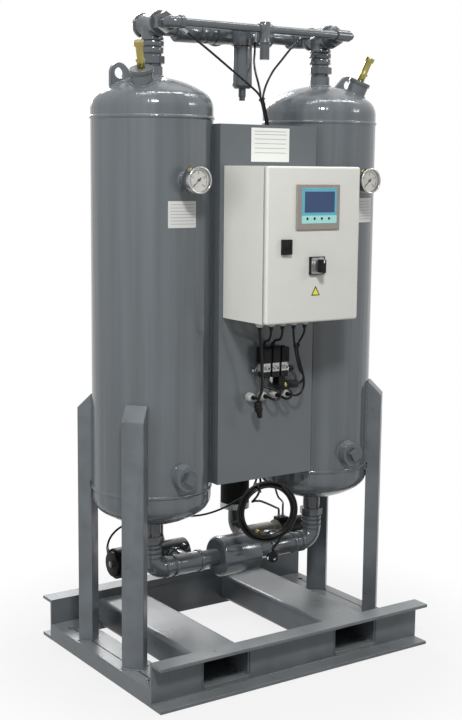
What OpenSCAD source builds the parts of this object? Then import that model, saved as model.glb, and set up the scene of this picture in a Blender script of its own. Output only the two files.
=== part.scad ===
// Twin-tower desiccant air dryer on a forklift skid, millimetres, +Z up, front towards -Y.

/* [Skid] */
// Length of the skid along X
skid_l = 900; // [860:10:1100]
// Width of the skid along Y
skid_w = 670; // [640:10:800]
// Height of the front and rear channels
channel_h = 120; // [115:1:140]
// Flange width of the front and rear channels
channel_flange = 55; // [40:1:65]
// Web thickness of the front and rear channels
channel_web = 7; // [5:0.5:10]
// Flange thickness of the front and rear channels
channel_flange_t = 9; // [6:0.5:12]
// Width of the side channels, which lie web up
side_w = 100; // [90:1:120]
// Height of the side channels
side_h = 47; // [40:1:60]
// Web thickness of the side channels
side_web = 6; // [4:0.5:9]
// Flange thickness of the side channels
side_flange_t = 8; // [5:0.5:10]
// Diameter of the floor anchor holes
anchor_hole_d = 14; // [10:1:18]
// Anchor hole centre from the skid's side face
anchor_inset = 35; // [25:1:50]
// Distance between the anchor holes along Y
anchor_spacing_y = 452; // [420:1:500]
// Distance between the fork tubes' centres
fork_spacing = 440; // [400:5:460]
// Width of a fork tube
fork_w = 150; // [120:5:160]
// Height of a fork tube
fork_h = 80; // [60:1:88]
// Wall of a fork tube
fork_wall = 5; // [3:0.5:8]
// Underside of the fork tubes above the floor
fork_lift = 15; // [12:1:20]
// Outer corner radius of the fork tubes
fork_corner = 12; // [9:1:16]
// Gap between a fork tube and its pocket in the web
pocket_clear = 0.3; // [0.2:0.1:0.8]

/* [Posts] */
// Post width along the vessel's skin
post_across = 60; // [50:1:70]
// Post depth away from the vessel
post_deep = 40; // [30:1:42]
// Post wall
post_wall = 4; // [3:0.5:6]
// Height of the outer edge of the sloped post top
post_top = 714; // [660:1:800]
// Gap between post and vessel for the weld
weld_gap = 0.5; // [0.3:0.1:0.9]

/* [Vessels] */
// Outside diameter of the vessels
vessel_d = 323.9; // [300:0.1:330]
// Vessel wall
vessel_wall = 5; // [4:0.5:8]
// Distance between the vessel axes
vessel_spacing = 557; // [540:1:580]
// Height of the lower seam
seam_low = 503; // [495:1:520]
// Height of the upper seam
seam_high = 1492; // [1400:1:1600]
// Straight part of each head beyond its seam
head_skirt = 24; // [20:1:45]
// Height of the weld bead over the skin
seam_bead = 3; // [1:0.5:3]
// Gap between the desiccant and the wall
bed_gap = 0.5; // [0.3:0.1:0.9]
// Thickness of a strainer plate
strainer_t = 6; // [3:1:10]
// Strainer distance from its seam
strainer_inset = 10; // [0:1:30]
// Neck radius on the upper head
neck_r = 28; // [26:0.5:32]
// Neck length over the upper head
neck_len = 25; // [20:1:40]
// Nozzle radius under the lower head
nozzle_r = 25; // [23:0.5:30]
// Nozzle length under the lower head
nozzle_len = 30; // [25:1:45]
// Gauge and gauge boss height
gauge_z = 1333; // [1200:1:1400]
// Gauge boss radius
gauge_boss_r = 18; // [14:0.5:24]
// Gauge boss length over the skin
gauge_boss_len = 20; // [12:1:30]
// Drain boss height
drain_z = 556; // [550:1:600]
// Drain boss radius
drain_boss_r = 33; // [28:0.5:36]
// Drain boss length over the skin
drain_boss_len = 28; // [18:1:34]
// Fill boss distance from the vessel axis along X
fill_x = 71; // [60:1:90]
// Fill boss distance from the vessel axis along Y
fill_y = 73; // [60:1:80]
// Fill boss radius
fill_boss_r = 28; // [22:0.5:32]
// Fill boss length over the head
fill_boss_len = 27; // [12:1:30]
// Bore of the fill and drain bosses
port_bore_r = 19; // [14:0.5:20]
// Gap between a plug and its boss
plug_clear = 0.3; // [0.2:0.1:0.5]
// Lifting eye distance from the vessel axis
lug_x = 100; // [90:1:110]
// Lifting eye height over the top of the head
lug_rise = 5; // [2:1:20]
// Outer radius of the lifting eye
lug_r = 26; // [22:0.5:32]
// Lifting eye hole diameter
lug_hole_d = 28; // [20:1:32]
// Lifting lug thickness
lug_t = 10; // [8:1:14]

/* [Gauges] */
// Gauge case radius
gauge_r = 34; // [30:0.5:40]
// Gauge case depth
gauge_depth = 32; // [26:1:40]
// Length of the brass adapter behind the case
gauge_stem = 24; // [15:1:35]
// Depth from the rim to the dial
dial_recess = 10; // [8:0.5:12]
// Rim width of the case
gauge_rim = 4; // [3:0.5:6]
// Glass thickness
glass_t = 2; // [1.5:0.5:3]
// Pointer length from its pivot
pointer_len = 24; // [18:1:26]
// Pivot pin radius
pivot_r = 1; // [0.8:0.1:1.5]
// Running gap in the turning fits
turn_clear = 0.05; // [0.02:0.01:0.1]

/* [Piping] */
// Bore of the main pipes
main_bore_r = 20; // [14:0.5:21]
// Bend radius of the main elbows
bend_r = 36; // [32:1:40]
// Length of the top unions
union_len = 67; // [55:1:80]
// Tee axis over the top union
tee_leg = 41; // [36:1:50]
// Front face of the outlet tees from their axis
tee_front = 45; // [40:1:55]
// Rear face of the outlet tees from their axis
tee_rear = 48; // [40:1:60]
// Outlet line pipe radius
outlet_r = 16.85; // [16:0.05:20]
// Air inlet socket radius
inlet_r = 22; // [21:0.5:24]
// Depth of the air inlet and outlet sockets
socket_depth = 27; // [20:1:28]
// Purge line distance in front of the vessel axes
purge_y = 98; // [90:1:120]
// Purge pipe radius
purge_r = 10.65; // [9:0.05:13]
// Throttle valve place along the purge line
throttle_x = 13; // [0:1:40]
// Filter distance in front of the vessel axes
filter_y = 13; // [0:1:30]
// Filter head radius
filter_r = 29; // [26:0.5:34]
// Filter bowl length
bowl_len = 114; // [90:1:140]
// Filter bowl wall
bowl_wall = 3; // [2:0.5:5]
// Height of the bottom line
bottom_z = 260; // [230:1:275]
// Radius of the inlet drum
drum_r = 57.15; // [50:0.05:65]
// Half length of the inlet drum
drum_half = 65; // [55:1:75]
// Drum wall
drum_wall = 5; // [3:0.5:7]
// Purge branch place on the bottom line from the middle
branch_x = 165; // [160:1:175]
// Purge valve axis behind the bottom line
valve_y = 100; // [95:1:110]
// Purge valve body radius
valve_r = 40; // [34:0.5:44]
// Air actuator radius
actuator_r = 43; // [40:0.5:52]
// Outer end of the air actuator from the middle
actuator_end = 350; // [330:1:364]
// Silencer place from the middle
silencer_x = 140; // [135:1:150]
// Silencer distance behind the vessel axes
silencer_y = 205; // [200:1:240]
// Silencer radius
silencer_r = 44; // [36:0.5:50]
// Silencer length
silencer_len = 180; // [120:5:240]

/* [Panel] */
// Half width of the folded panel
panel_half = 158; // [155:1:170]
// Panel sheet thickness
panel_t = 2; // [1.5:0.5:3]
// Front face of the panel before the vessel axes
panel_y = 145; // [140:1:160]
// Lower edge of the panel
panel_low = 515; // [512:1:560]
// Upper edge of the panel
panel_high = 1478; // [1400:1:1500]
// Height of the cable glands in the panel
gland_z = 749; // [720:1:760]

/* [Cabinet] */
// Cabinet width
cab_w = 300; // [300:1:340]
// Cabinet height
cab_h = 400; // [380:1:420]
// Cabinet middle along X
cab_x = 5; // [0:1:10]
// Cabinet lower face
cab_z = 970; // [960:1:985]
// Depth of the cabinet body behind the door
cab_d = 176; // [160:1:200]
// Sheet thickness of the cabinet
sheet = 1.5; // [1:0.1:2]
// Rim width around the cabinet opening
cab_rim = 12; // [10:1:16]
// Gap between the door and the body
door_gap = 3; // [2.5:0.5:4]
// Door depth
door_d = 16; // [15:0.5:20]
// Hinge pin from the door's edge and face
pin_inset = 6; // [5.8:0.1:7]
// Hinge pin radius
pin_r = 2; // [1.6:0.1:2.2]
// Width of the operator panel
hmi_w = 140; // [120:1:150]
// Height of the operator panel
hmi_h = 116; // [100:1:130]
// Operator panel middle from the cabinet middle
hmi_x = 8; // [0:1:12]
// Operator panel middle over the cabinet's lower face
hmi_z = 297; // [285:1:310]
// Bezel thickness
hmi_t = 6; // [4:0.5:8]
// Latch place from the cabinet middle
latch_x = -92; // [-96:1:-85]
// Latch height over the cabinet's lower face
latch_z = 197; // [150:1:215]
// Latch shaft radius
latch_r = 8; // [6:0.5:10]
// Latch knob thickness
latch_t = 10; // [8:1:14]
// Switch place from the cabinet middle
switch_x = 7; // [0:1:15]
// Switch height over the cabinet's lower face
switch_z = 147; // [110:1:155]
// Switch plate width
switch_w = 46; // [40:1:55]
// Switch plate thickness
switch_t = 8; // [6:0.5:10]
// Switch shaft radius
switch_r = 6; // [5:0.5:8]
// Depth of the switch knob
knob_d = 26.7; // [20:0.1:35]
// Running gap behind the turning knobs
knob_gap = 0.3; // [0.2:0.1:0.5]
// Cable gland thread radius
gland_r = 8; // [6:0.5:9]
// Gap around a gland in its hole
gland_clear = 0.1; // [0.05:0.05:0.3]
// Height of the pilot valve block's upper face
pilot_z = 842; // [835:1:850]

/* [Hidden] */
$fn = 48;
eps = 0.01;
paint = "#5e6569";
dark_paint = "#4d5458";
pale = "#cecec7";
black = "#1d1d1e";
brass = "#b0934c";
steel = "#b9bcbb";

// Heads: crown radius equals the diameter, knuckle is a tenth of it
vessel_r = vessel_d / 2;
crown_r = 0.8 * vessel_d;
knuckle_r = 0.154 * vessel_d;
head_h = crown_r - sqrt(pow(crown_r - knuckle_r, 2) - pow(vessel_r - knuckle_r, 2));
crown_drop = head_h - crown_r;
crown_angle = asin((vessel_r - knuckle_r) / (crown_r - knuckle_r));
tangent_high = seam_high + head_skirt;
tangent_low = seam_low - head_skirt;
dome_top = tangent_high + head_h;
dome_bottom = tangent_low - head_h;
axis_x = vessel_spacing / 2;
fill_turn = atan2(fill_y, fill_x);
fill_tilt = asin(norm([fill_x, fill_y]) / crown_r);
cavity_r = vessel_r - vessel_wall;

// Heights along the top piping
neck_top = dome_top + neck_len;
union_top = neck_top + union_len;
tee_z = union_top + tee_leg;
outlet_y = tee_rear + bend_r;
outlet_bore_r = outlet_r - 3;
purge_bore_r = purge_r - 2.5;
cross_half = 28;
filter_top = tee_z + 9;
filter_low = tee_z - 39;
filter_port = filter_r + 4;

// Heights along the bottom piping
nozzle_end = dome_bottom - nozzle_len;
valve_face = drum_r;
exhaust_r = 20;
exhaust_face = valve_y + valve_r + 10;
collar_z = bottom_z + bend_r + 36;
collar_h = 18;

// Front to back layout, with the origin under the middle of the whole outline
web_y = skid_w / 2 - channel_flange;
cab_front = panel_y + cab_d;
door_back = cab_front + door_gap;
door_front = door_back + door_d;
plate_front = door_front + switch_t;
knob_front = plate_front + knob_gap + knob_d;
y_shift = (knob_front - skid_w / 2) / 2;
post_in = vessel_r + weld_gap;
pin_x = cab_x + cab_w / 2 - pin_inset;
pin_y = door_front - pin_inset;
hinge_rise = [90, cab_h - 90];
eye_h = 16;
gauge_face = vessel_r + gauge_boss_len + gauge_stem + gauge_depth;
dial_y = gauge_face - dial_recess;
cab_gland_x = [-95, -58, -21, 16, 53];
cab_gland_y = panel_y + 92;
panel_gland_x = [-58, -18, 23, 57];
gland_len = 26;
gland_head = 4;
gland_nut = 10;
coil_x = [-24, 6, 36];
coil_w = 26;
tube_d = 6;
lead_d = 6.5;
thin_lead_d = 6.5;
connector_d = 19;
mains_d = 8;
coil_turn_r = 78;
coil_pack_r = 10;
coil_at = [7, -150, 419];
coil_yaw = -18;
plug_at = [28, -150, 287];
plug_yaw = -45;
plug_r = 16;
plug_deep = 24;

// Cord routes: points chosen by hand, in the skid's own frame
left_tube_path = [
    [-234, -100, 1706], [-222, -101, 1699], [-160, -107, 1658], [-90, -113, 1610], [-46, -118, 1579],
    [-24, -122, 1561], [-14.5, -123, 1547], [-8, -123, 1528], [-2.5, -122, 1508], [4.5, -121, 1480],
    [3, -118, 1440], [-6, -113, 1380], [-16, -110, 1300], [-22, -110, 1150], [-24, -110, 1000],
    [-24, -110, 880], [-24, -110, 850], [-24, -112.1, 839.3], [-24, -118.2, 830.2], [-24, -127.3, 824.1],
    [-24, -137.6, 822]];
centre_tube_path = [
    [41, -13, 1706], [40.5, -13.5, 1694], [36, -19, 1675], [24, -34, 1650], [12, -58, 1622],
    [2, -84, 1595], [-6, -106, 1568], [-11, -117, 1547], [-5, -117, 1528], [0.8, -116.5, 1508],
    [7.8, -115.5, 1480], [8, -113, 1440], [7, -111, 1380], [6, -110, 1300], [6, -110, 1150],
    [6, -110, 1000], [6, -110, 880], [6, -110, 850], [6, -112.1, 839.3], [6, -118.2, 830.2],
    [6, -127.3, 824.1], [6, -137.6, 822]];
right_tube_path = [
    [160, -99, 1716], [148, -100, 1715], [130, -103, 1710], [108, -106, 1696], [88, -108, 1680],
    [62, -111, 1654], [32, -114, 1624], [10, -118, 1594], [-3, -121, 1568], [-8, -123, 1547],
    [-1.5, -123, 1528], [4, -122, 1508], [11, -121, 1480], [13, -118, 1440], [19, -113, 1380],
    [26, -110, 1300], [34, -110, 1150], [36, -110, 1000], [36, -110, 880], [36, -110, 850],
    [36, -112.1, 839.3], [36, -118.2, 830.2], [36, -127.3, 824.1], [36, -137.6, 822]];
left_actuator_path = [
    [-344, 135, 300], [-342, 135, 309], [-337, 134.5, 322], [-326, 133, 337], [-306, 130, 352],
    [-275, 126, 363], [-230, 118, 368], [-170, 104, 367], [-110, 86, 366], [-70, 62, 371],
    [-48, 20, 390], [-36, -30, 418], [-22, -80, 452], [-14, -106, 480], [-7, -116, 512],
    [-7, -117, 560], [-13, -114, 630], [-17, -107, 690], [-18, -105, 715], [-18, -107.1, 731.7],
    [-18, -113.2, 740.8], [-18, -122.3, 746.9], [-18, -132.6, 749]];
right_actuator_path = [
    [247, 100, 320.4], [247, 100, 332], [244, 96, 345], [236, 85, 357], [219, 65, 368], [186, 26, 386],
    [140, -20, 413], [98, -66, 446], [66, -99, 484], [46, -112, 525], [34, -114, 570], [27, -111, 630],
    [23, -106, 690], [23, -105, 715], [23, -107.1, 731.7], [23, -113.2, 740.8], [23, -122.3, 746.9],
    [23, -132.6, 749]];
mains_path = [
    [57, -132.6, 749], [57, -122, 748], [57, -108, 743], [57, -98, 733], [57, -94, 718], [57, -95, 700],
    [56, -104, 672], [53, -120, 640], [49, -130, 605], [43, -133, 575], [36, -134, 540], [33, -136, 520],
    [33.5, -141, 508], [38, -152, 498], [47.4, -163, 486.7], [59.5, -167, 474]];
tail_path = [
    [59, -167, 364], [51, -164, 349], [43, -159, 334], [36, -154, 321], [30, -151, 312], [28, -150, 308],
    [28, -150, 303]];
first_coil_lead = [
    [-53, -237, 939.6], [-53, -236, 928], [-50, -226, 916], [-43, -208, 909], [-34, -188, 906],
    [-27, -173, 901], [-24, -167, 893], [-24, -166, 884.4]];
second_coil_lead = [
    [-16, -237, 939.6], [-16, -236, 928], [-13, -226, 916], [-7, -208, 909], [0, -188, 906],
    [4, -174, 901], [6, -167, 893], [6, -166, 884.4]];
switch_lead = [
    [21, -237, 939.6], [22, -237, 924], [34, -228, 888], [60, -207, 842], [82, -188, 806],
    [97, -174, 789], [105, -165, 780], [104, -160, 775.5], [93.4, -160, 775]];
supply_lead = [
    [58, -237, 939.6], [57, -237, 929], [50, -235, 914], [42, -230, 895], [52, -219, 868],
    [70, -207, 838], [88, -196, 806], [92, -195, 780], [85, -196, 760], [71, -195, 750],
    [60, -188, 749], [57, -175.4, 749]];
connector_lead = [
    [-90, -237, 939.6], [-88, -237, 925], [-80, -231, 890], [-66, -216, 830], [-58, -206, 780],
    [-59, -199, 760], [-62, -194, 746]];
connector_stub = [[-58, -175.4, 749], [-58, -186, 749], [-60, -192, 745], [-62, -194, 736]];
connector_body = [[-62, -194, 743], [-60, -193, 728], [-55, -191, 712], [-51, -189, 698]];
left_pilot_lead = [
    [-18, -175.4, 749], [-18, -185, 748], [-12, -195, 744], [0, -199, 745], [7, -194, 755],
    [1, -184, 766], [-13, -172, 773], [-24, -164, 777], [-28, -163, 785.6]];
right_pilot_lead = [
    [23, -175.4, 749], [23, -185, 748], [28, -196, 746], [30, -202, 754], [24, -197, 764],
    [12, -182, 771], [4, -167, 777], [2, -163, 785.6]];
sensor_lead = [
    [-58, -132.6, 749], [-58, -122, 748], [-58, -113, 742], [-57.5, -109, 730], [-55, -112, 700],
    [-46, -122, 650], [-32, -130, 600], [-14, -132, 550], [-8, -131, 525], [-3, -130, 490],
    [-12, -127, 458], [-22, -120, 448], [0, -100, 441], [60, -46, 417], [140, 20, 380],
    [206, 76, 348], [226, 94, 336], [232, 100, 329], [232, 100, 320.4]];
pilot_port_y = 138;
switch_end = 93;

// Cord sweep: a smooth curve through the route's points, with one ring of points at each step
function between(a, b, c, d, t) = 0.5 * (2 * b + (c - a) * t + (2 * a - 5 * b + 4 * c - d) * t * t
    + (3 * b - a - 3 * c + d) * t * t * t);
function smooth(path, steps) = let(last = len(path) - 1) [
    for (i = [0 : last - 1]) for (j = [0 : steps - 1])
        between(path[max(i - 1, 0)], path[i], path[i + 1], path[min(i + 2, last)], j / steps), path[last]];
function unit(v) = v / norm(v);
function carried(headings, side, i = 0) = i == len(headings) ? [] :
    let(next = unit(side - (side * headings[i]) * headings[i]))
        concat([next], carried(headings, next, i + 1));

module cord(path, d, steps = 2, sides = 8) {
    line = smooth(path, steps);
    last = len(line) - 1;
    headings = [for (i = [0 : last]) unit(line[min(i + 1, last)] - line[max(i - 1, 0)])];
    across = carried(headings, [0.31, 0.62, 0.72]);
    points = [for (i = [0 : last]) for (k = [0 : sides - 1])
        line[i] + d / 2 * (cos(360 * k / sides) * across[i] + sin(360 * k / sides) * cross(headings[i],
            across[i]))];
    skin = [for (i = [0 : last - 1]) for (k = [0 : sides - 1]) let(n = (k + 1) % sides)
        [i * sides + k, (i + 1) * sides + k, (i + 1) * sides + n, i * sides + n]];
    start = [for (k = [0 : sides - 1]) k];
    end = [for (k = [sides - 1 : -1 : 0]) last * sides + k];
    polyhedron(points, concat([start, end], skin));
}

// Shared shapes
module place() {
    translate([0, y_shift, 0]) children();
}

module at_vessel(side) {
    place() translate([side * axis_x, 0, 0]) children();
}

module mirrored(side) {
    place() mirror([side > 0 ? 1 : 0, 0, 0]) children();
}

module rod(from, to, r) {
    run = to - from;
    translate(from) rotate([0, acos(run.z / norm(run)), atan2(run.y, run.x)])
        cylinder(r = r, h = norm(run));
}

// Turned shape along X: each step is [start, end, radius]
module turned_x(steps) {
    for (s = steps) translate([s[0], 0, 0]) rotate([0, 90, 0]) cylinder(r = s[2], h = s[1] - s[0]);
}

// Turned shape along Z: each step is [start, end, radius]
module turned_z(steps) {
    for (s = steps) translate([0, 0, s[0]]) cylinder(r = s[2], h = s[1] - s[0]);
}

// Turned shape from the skin outwards along -Y: each step is [start, end, radius]
module turned_front(steps) {
    for (s = steps) translate([0, -s[0], 0]) rotate([90, 0, 0]) cylinder(r = s[2], h = s[1] - s[0]);
}

module bent(r) {
    rotate_extrude(angle = 90) translate([bend_r, 0]) circle(r);
}

module round_box(w, h, r) {
    square([w - 2 * r, h], center = true);
    square([w, h - 2 * r], center = true);
    for (sx = [-1, 1]) for (sz = [-1, 1]) translate([sx * (w / 2 - r), sz * (h / 2 - r)]) circle(r);
}

module block(from, to) {
    translate(from) cube(to - from);
}

// Skid
module fork_section(grow) {
    translate([0, fork_lift + fork_h / 2]) round_box(fork_w + 2 * grow, fork_h + 2 * grow, fork_corner +
        grow);
}

module channel(side) {
    outer = skid_w / 2;
    mirror([0, side > 0 ? 1 : 0, 0]) difference() {
        union() {
            block([-skid_l / 2, -outer, 0], [skid_l / 2, -web_y, channel_flange_t]);
            block([-skid_l / 2, -outer, channel_h - channel_flange_t], [skid_l / 2, -web_y, channel_h]);
            block([-skid_l / 2, -web_y - channel_web, 0], [skid_l / 2, -web_y, channel_h]);
        }
        for (s = [-1, 1]) translate([s * fork_spacing / 2, 1 - web_y, 0]) rotate([90, 0, 0])
            linear_extrude(channel_web + 2) fork_section(pocket_clear);
    }
}

module front_channel() {
    color(paint) place() channel(-1);
}

module rear_channel() {
    color(paint) place() channel(1);
}

module side_channel(side) {
    inner = skid_l / 2 - side_w;
    mirrored(side) difference() {
        union() {
            block([-skid_l / 2, -web_y, side_h - side_web], [-inner, web_y, side_h]);
            block([-skid_l / 2, -web_y, 0], [side_flange_t - skid_l / 2, web_y, side_h]);
            block([-inner - side_flange_t, -web_y, 0], [-inner, web_y, side_h]);
        }
        for (s = [-1, 1]) translate([anchor_inset - skid_l / 2, s * anchor_spacing_y / 2, 0])
            cylinder(d = anchor_hole_d, h = side_h + 1);
    }
}

module left_side_channel() {
    color(paint) side_channel(-1);
}

module right_side_channel() {
    color(paint) side_channel(1);
}

module fork_tube(side) {
    half = web_y + channel_web;
    place() translate([side * fork_spacing / 2, half, 0]) rotate([90, 0, 0]) linear_extrude(2 * half)
        difference() {
        fork_section(0);
        fork_section(-fork_wall);
    }
}

module left_fork_tube() {
    color(paint) fork_tube(-1);
}

module right_fork_tube() {
    color(paint) fork_tube(1);
}

// One post: a tube with a closed sloped top, set out from the vessel axis along X
module post() {
    out = post_in + post_deep;
    rise = post_top + post_deep;
    difference() {
        rotate([90, 0, 0]) linear_extrude(post_across, center = true)
            polygon([[post_in, side_h], [out, side_h], [out, post_top], [post_in, rise]]);
        rotate([90, 0, 0]) linear_extrude(post_across - 2 * post_wall, center = true)
            polygon([[post_in + post_wall, side_h - 1], [out - post_wall, side_h - 1],
                [out - post_wall, post_top - post_wall], [post_in + post_wall, rise - 3 * post_wall]]);
        block([post_in - 1, -post_across, seam_low - 2 * seam_bead - 1],
            [post_in + seam_bead - weld_gap + pocket_clear, post_across, seam_low + 2 * seam_bead + 1]);
    }
}

module posts() {
    color(paint) for (side = [-1, 1]) for (end = [-1, 1]) mirrored(side) translate([-axis_x, 0, 0])
        rotate([0, 0, 180 + end * 45]) post();
}

// Vessels
function head_outline(grow) = concat(
    [for (i = [0 : 12]) let(a = crown_angle * i / 12)
        [(crown_r + grow) * sin(a), crown_drop + (crown_r + grow) * cos(a)]],
    [for (i = [1 : 10]) let(a = crown_angle + (90 - crown_angle) * i / 10)
        [vessel_r - knuckle_r + (knuckle_r + grow) * sin(a), (knuckle_r + grow) * cos(a)]]);

module vessel_body(grow) {
    head = head_outline(grow);
    last = len(head) - 1;
    rotate_extrude($fn = 96) polygon(concat(
        [for (p = head) [p.x, tangent_high + p.y]],
        [for (i = [last : -1 : 0]) [head[i].x, tangent_low - head[i].y]]));
}

// Frame on the upper head with +Z along the fill boss
module at_fill_boss() {
    translate([0, 0, tangent_high + crown_drop]) rotate([0, 0, 180 + fill_turn]) rotate([0, fill_tilt, 0])
        translate([0, 0, crown_r]) children();
}

module lifting_lug() {
    hole_z = dome_top + lug_rise;
    slant = lug_r * sqrt(0.5);
    rotate([90, 0, 0]) linear_extrude(lug_t, center = true) translate([-lug_x, hole_z]) difference() {
        union() {
            circle(lug_r);
            polygon([[-lug_r, 0], [-lug_r, -2 * lug_r], [slant + 2 * lug_r, slant - 2 * lug_r],
                [slant, slant]]);
        }
        circle(d = lug_hole_d);
    }
}

// Left vessel about its own axis: the right one is its mirror image
module vessel() {
    root = 2 * vessel_wall;
    difference() {
        union() {
            vessel_body(0);
            for (z = [seam_low, seam_high]) translate([0, 0, z]) rotate_extrude($fn = 96)
                translate([vessel_r - seam_bead, 0]) circle(2 * seam_bead);
            turned_z([[dome_top - root, neck_top, neck_r], [nozzle_end, dome_bottom + root, nozzle_r]]);
            translate([0, 0, gauge_z])
                turned_front([[vessel_r - root, vessel_r + gauge_boss_len, gauge_boss_r]]);
            translate([0, 0, drain_z])
                turned_front([[vessel_r - root, vessel_r + drain_boss_len, drain_boss_r]]);
            at_fill_boss() turned_z([[-root, fill_boss_len, fill_boss_r]]);
            lifting_lug();
        }
        vessel_body(-vessel_wall);
        turned_z([[dome_top - 2 * root, neck_top + 1, main_bore_r],
            [nozzle_end - 1, dome_bottom + 2 * root, main_bore_r]]);
        translate([0, 0, gauge_z])
            turned_front([[cavity_r - root, vessel_r + gauge_boss_len + 1, gauge_boss_r / 2]]);
        translate([0, 0, drain_z])
            turned_front([[cavity_r - root, vessel_r + drain_boss_len + 1, port_bore_r]]);
        at_fill_boss() turned_z([[-2 * root, fill_boss_len + 1, port_bore_r]]);
    }
}

module left_vessel() {
    color(paint) mirrored(-1) translate([-axis_x, 0, 0]) vessel();
}

module right_vessel() {
    color(paint) mirrored(1) translate([-axis_x, 0, 0]) vessel();
}

module desiccant_bed(side) {
    at_vessel(side) turned_z([[seam_low + strainer_inset + strainer_t,
        seam_high - strainer_inset - strainer_t,
        cavity_r - bed_gap]]);
}

module left_desiccant_bed() {
    color("#e9e4d8") desiccant_bed(-1);
}

module right_desiccant_bed() {
    color("#e9e4d8") desiccant_bed(1);
}

module bed_strainers() {
    low = seam_low + strainer_inset;
    high = seam_high - strainer_inset;
    color(steel) for (side = [-1, 1]) at_vessel(side)
        turned_z([[low, low + strainer_t, cavity_r - bed_gap],
            [high - strainer_t, high, cavity_r - bed_gap]]);
}

module fill_plug() {
    spigot = fill_boss_len - 2;
    at_fill_boss() difference() {
        turned_z([[fill_boss_len - spigot, fill_boss_len, port_bore_r - plug_clear],
            [fill_boss_len, fill_boss_len + 10, fill_boss_r + 3]]);
        turned_z([[0, fill_boss_len + 11, 6]]);
    }
}

module safety_valve() {
    seat = fill_boss_len + 10;
    at_fill_boss() {
        turned_z([[seat - 8, seat, 6 - plug_clear], [seat, seat + 18, 10], [seat + 24, seat + 58, 9.5],
            [seat + 58, seat + 70, 13]]);
        translate([0, 0, seat + 18]) cylinder(r = 12.5, h = 6, $fn = 6);
    }
}

module safety_valves() {
    color(brass) for (side = [-1, 1]) mirrored(side) translate([-axis_x, 0, 0]) safety_valve();
}

module drain_plug() {
    face = vessel_r + drain_boss_len;
    translate([0, 0, drain_z]) {
        turned_front([[face - 14, face + eps, port_bore_r - plug_clear],
            [face, face + 3, drain_boss_r - 9]]);
        rotate([0, 30, 0]) block([-14, -face - 15, -14], [14, eps - face - 3, 14]);
    }
}

module vessel_plugs() {
    color(paint) for (side = [-1, 1]) mirrored(side) translate([-axis_x, 0, 0]) {
        fill_plug();
        drain_plug();
    }
}

// Gauges
module gauge(side) {
    boss = vessel_r + gauge_boss_len;
    back = boss + gauge_stem;
    at_vessel(side) translate([0, 0, gauge_z]) {
        difference() {
            turned_front([[back, gauge_face, gauge_r]]);
            turned_front([[dial_y, gauge_face + 1, gauge_r - gauge_rim]]);
        }
        turned_front([[dial_y - 1, dial_y + 5, pivot_r], [boss + 14, back + 1, 7]]);
        translate([0, -boss, 0]) rotate([90, 0, 0]) cylinder(r = 13, h = 14, $fn = 6);
    }
}

module left_gauge() {
    color(steel) gauge(-1);
}

module right_gauge() {
    color(steel) gauge(1);
}

// Pointer at its zero mark, low on the left
module pointer(side) {
    at_vessel(side) translate([0, -dial_y, gauge_z]) difference() {
        union() {
            turned_front([[1, 4.5, 3.4]]);
            rotate([0, -45, 0]) {
                block([-pointer_len, -3, -0.8], [0, -2, 0.8]);
                block([0, -3, -1.6], [8, -2, 1.6]);
            }
        }
        turned_front([[0, 6, pivot_r + turn_clear]]);
    }
}

module left_pointer() {
    color(black) pointer(-1);
}

module right_pointer() {
    color(black) pointer(1);
}

module gauge_glass(side) {
    at_vessel(side) translate([0, 0, gauge_z])
        turned_front([[gauge_face - glass_t - 1, gauge_face - 1, gauge_r - gauge_rim - plug_clear]]);
}

module left_gauge_glass() {
    color("#dfe8ea", 0.4) gauge_glass(-1);
}

module right_gauge_glass() {
    color("#dfe8ea", 0.4) gauge_glass(1);
}

// Top piping
module top_union(side) {
    nut = neck_top + 8;
    ring = union_top - 15;
    at_vessel(side) difference() {
        union() {
            turned_z([[neck_top, union_top, neck_r - 3], [nut + 26, nut + 41, neck_r + 2],
                [ring, union_top - 2, neck_r + 3]]);
            translate([0, 0, nut]) cylinder(r = neck_r + 6, h = 19, $fn = 8);
        }
        turned_z([[neck_top - 1, union_top + 1, main_bore_r]]);
    }
}

module left_top_union() {
    color(dark_paint) top_union(-1);
}

module right_top_union() {
    color(dark_paint) top_union(1);
}

module outlet_tee(side) {
    run_r = neck_r + 0.5;
    at_vessel(side) difference() {
        union() {
            turned_z([[union_top, tee_z, neck_r], [union_top, union_top + 8, neck_r + 2]]);
            translate([0, 0, tee_z]) turned_front([[-tee_rear, tee_front, run_r],
                [tee_front - 10, tee_front, neck_r + 4.5], [-tee_rear, 10 - tee_rear, neck_r + 4.5]]);
        }
        turned_z([[union_top - 1, tee_z, main_bore_r - 1]]);
        translate([0, 0, tee_z]) turned_front([[-tee_rear - 1, tee_front + 1, main_bore_r]]);
    }
}

module left_outlet_tee() {
    color(paint) outlet_tee(-1);
}

module right_outlet_tee() {
    color(paint) outlet_tee(1);
}

// Elbow behind the left tee and the check valve towards the middle
module check_valve(side) {
    elbow_x = bend_r - axis_x;
    mirrored(side) translate([0, outlet_y, tee_z]) difference() {
        union() {
            translate([elbow_x, -bend_r, 0]) rotate([0, 0, 90]) bent(neck_r - 3.5);
            turned_x([[elbow_x, elbow_x + 12, neck_r - 2], [elbow_x + 12, -160, outlet_r],
                [-160, -154, outlet_r + 8],
                [-154, -92, neck_r + 2], [-92, -84, neck_r - 3], [-84, -70, neck_r + 1],
                    [-70, -60, neck_r - 2],
                [-60, -36, neck_r + 1], [-36, -cross_half, neck_r - 4]]);
        }
        translate([elbow_x, -bend_r, 0]) rotate([0, 0, 90]) bent(outlet_bore_r - 1);
        turned_x([[elbow_x - 1, 1 - cross_half, outlet_bore_r]]);
    }
}

module left_check_valve() {
    color(dark_paint) check_valve(-1);
}

module right_check_valve() {
    color(dark_paint) check_valve(1);
}

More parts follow.
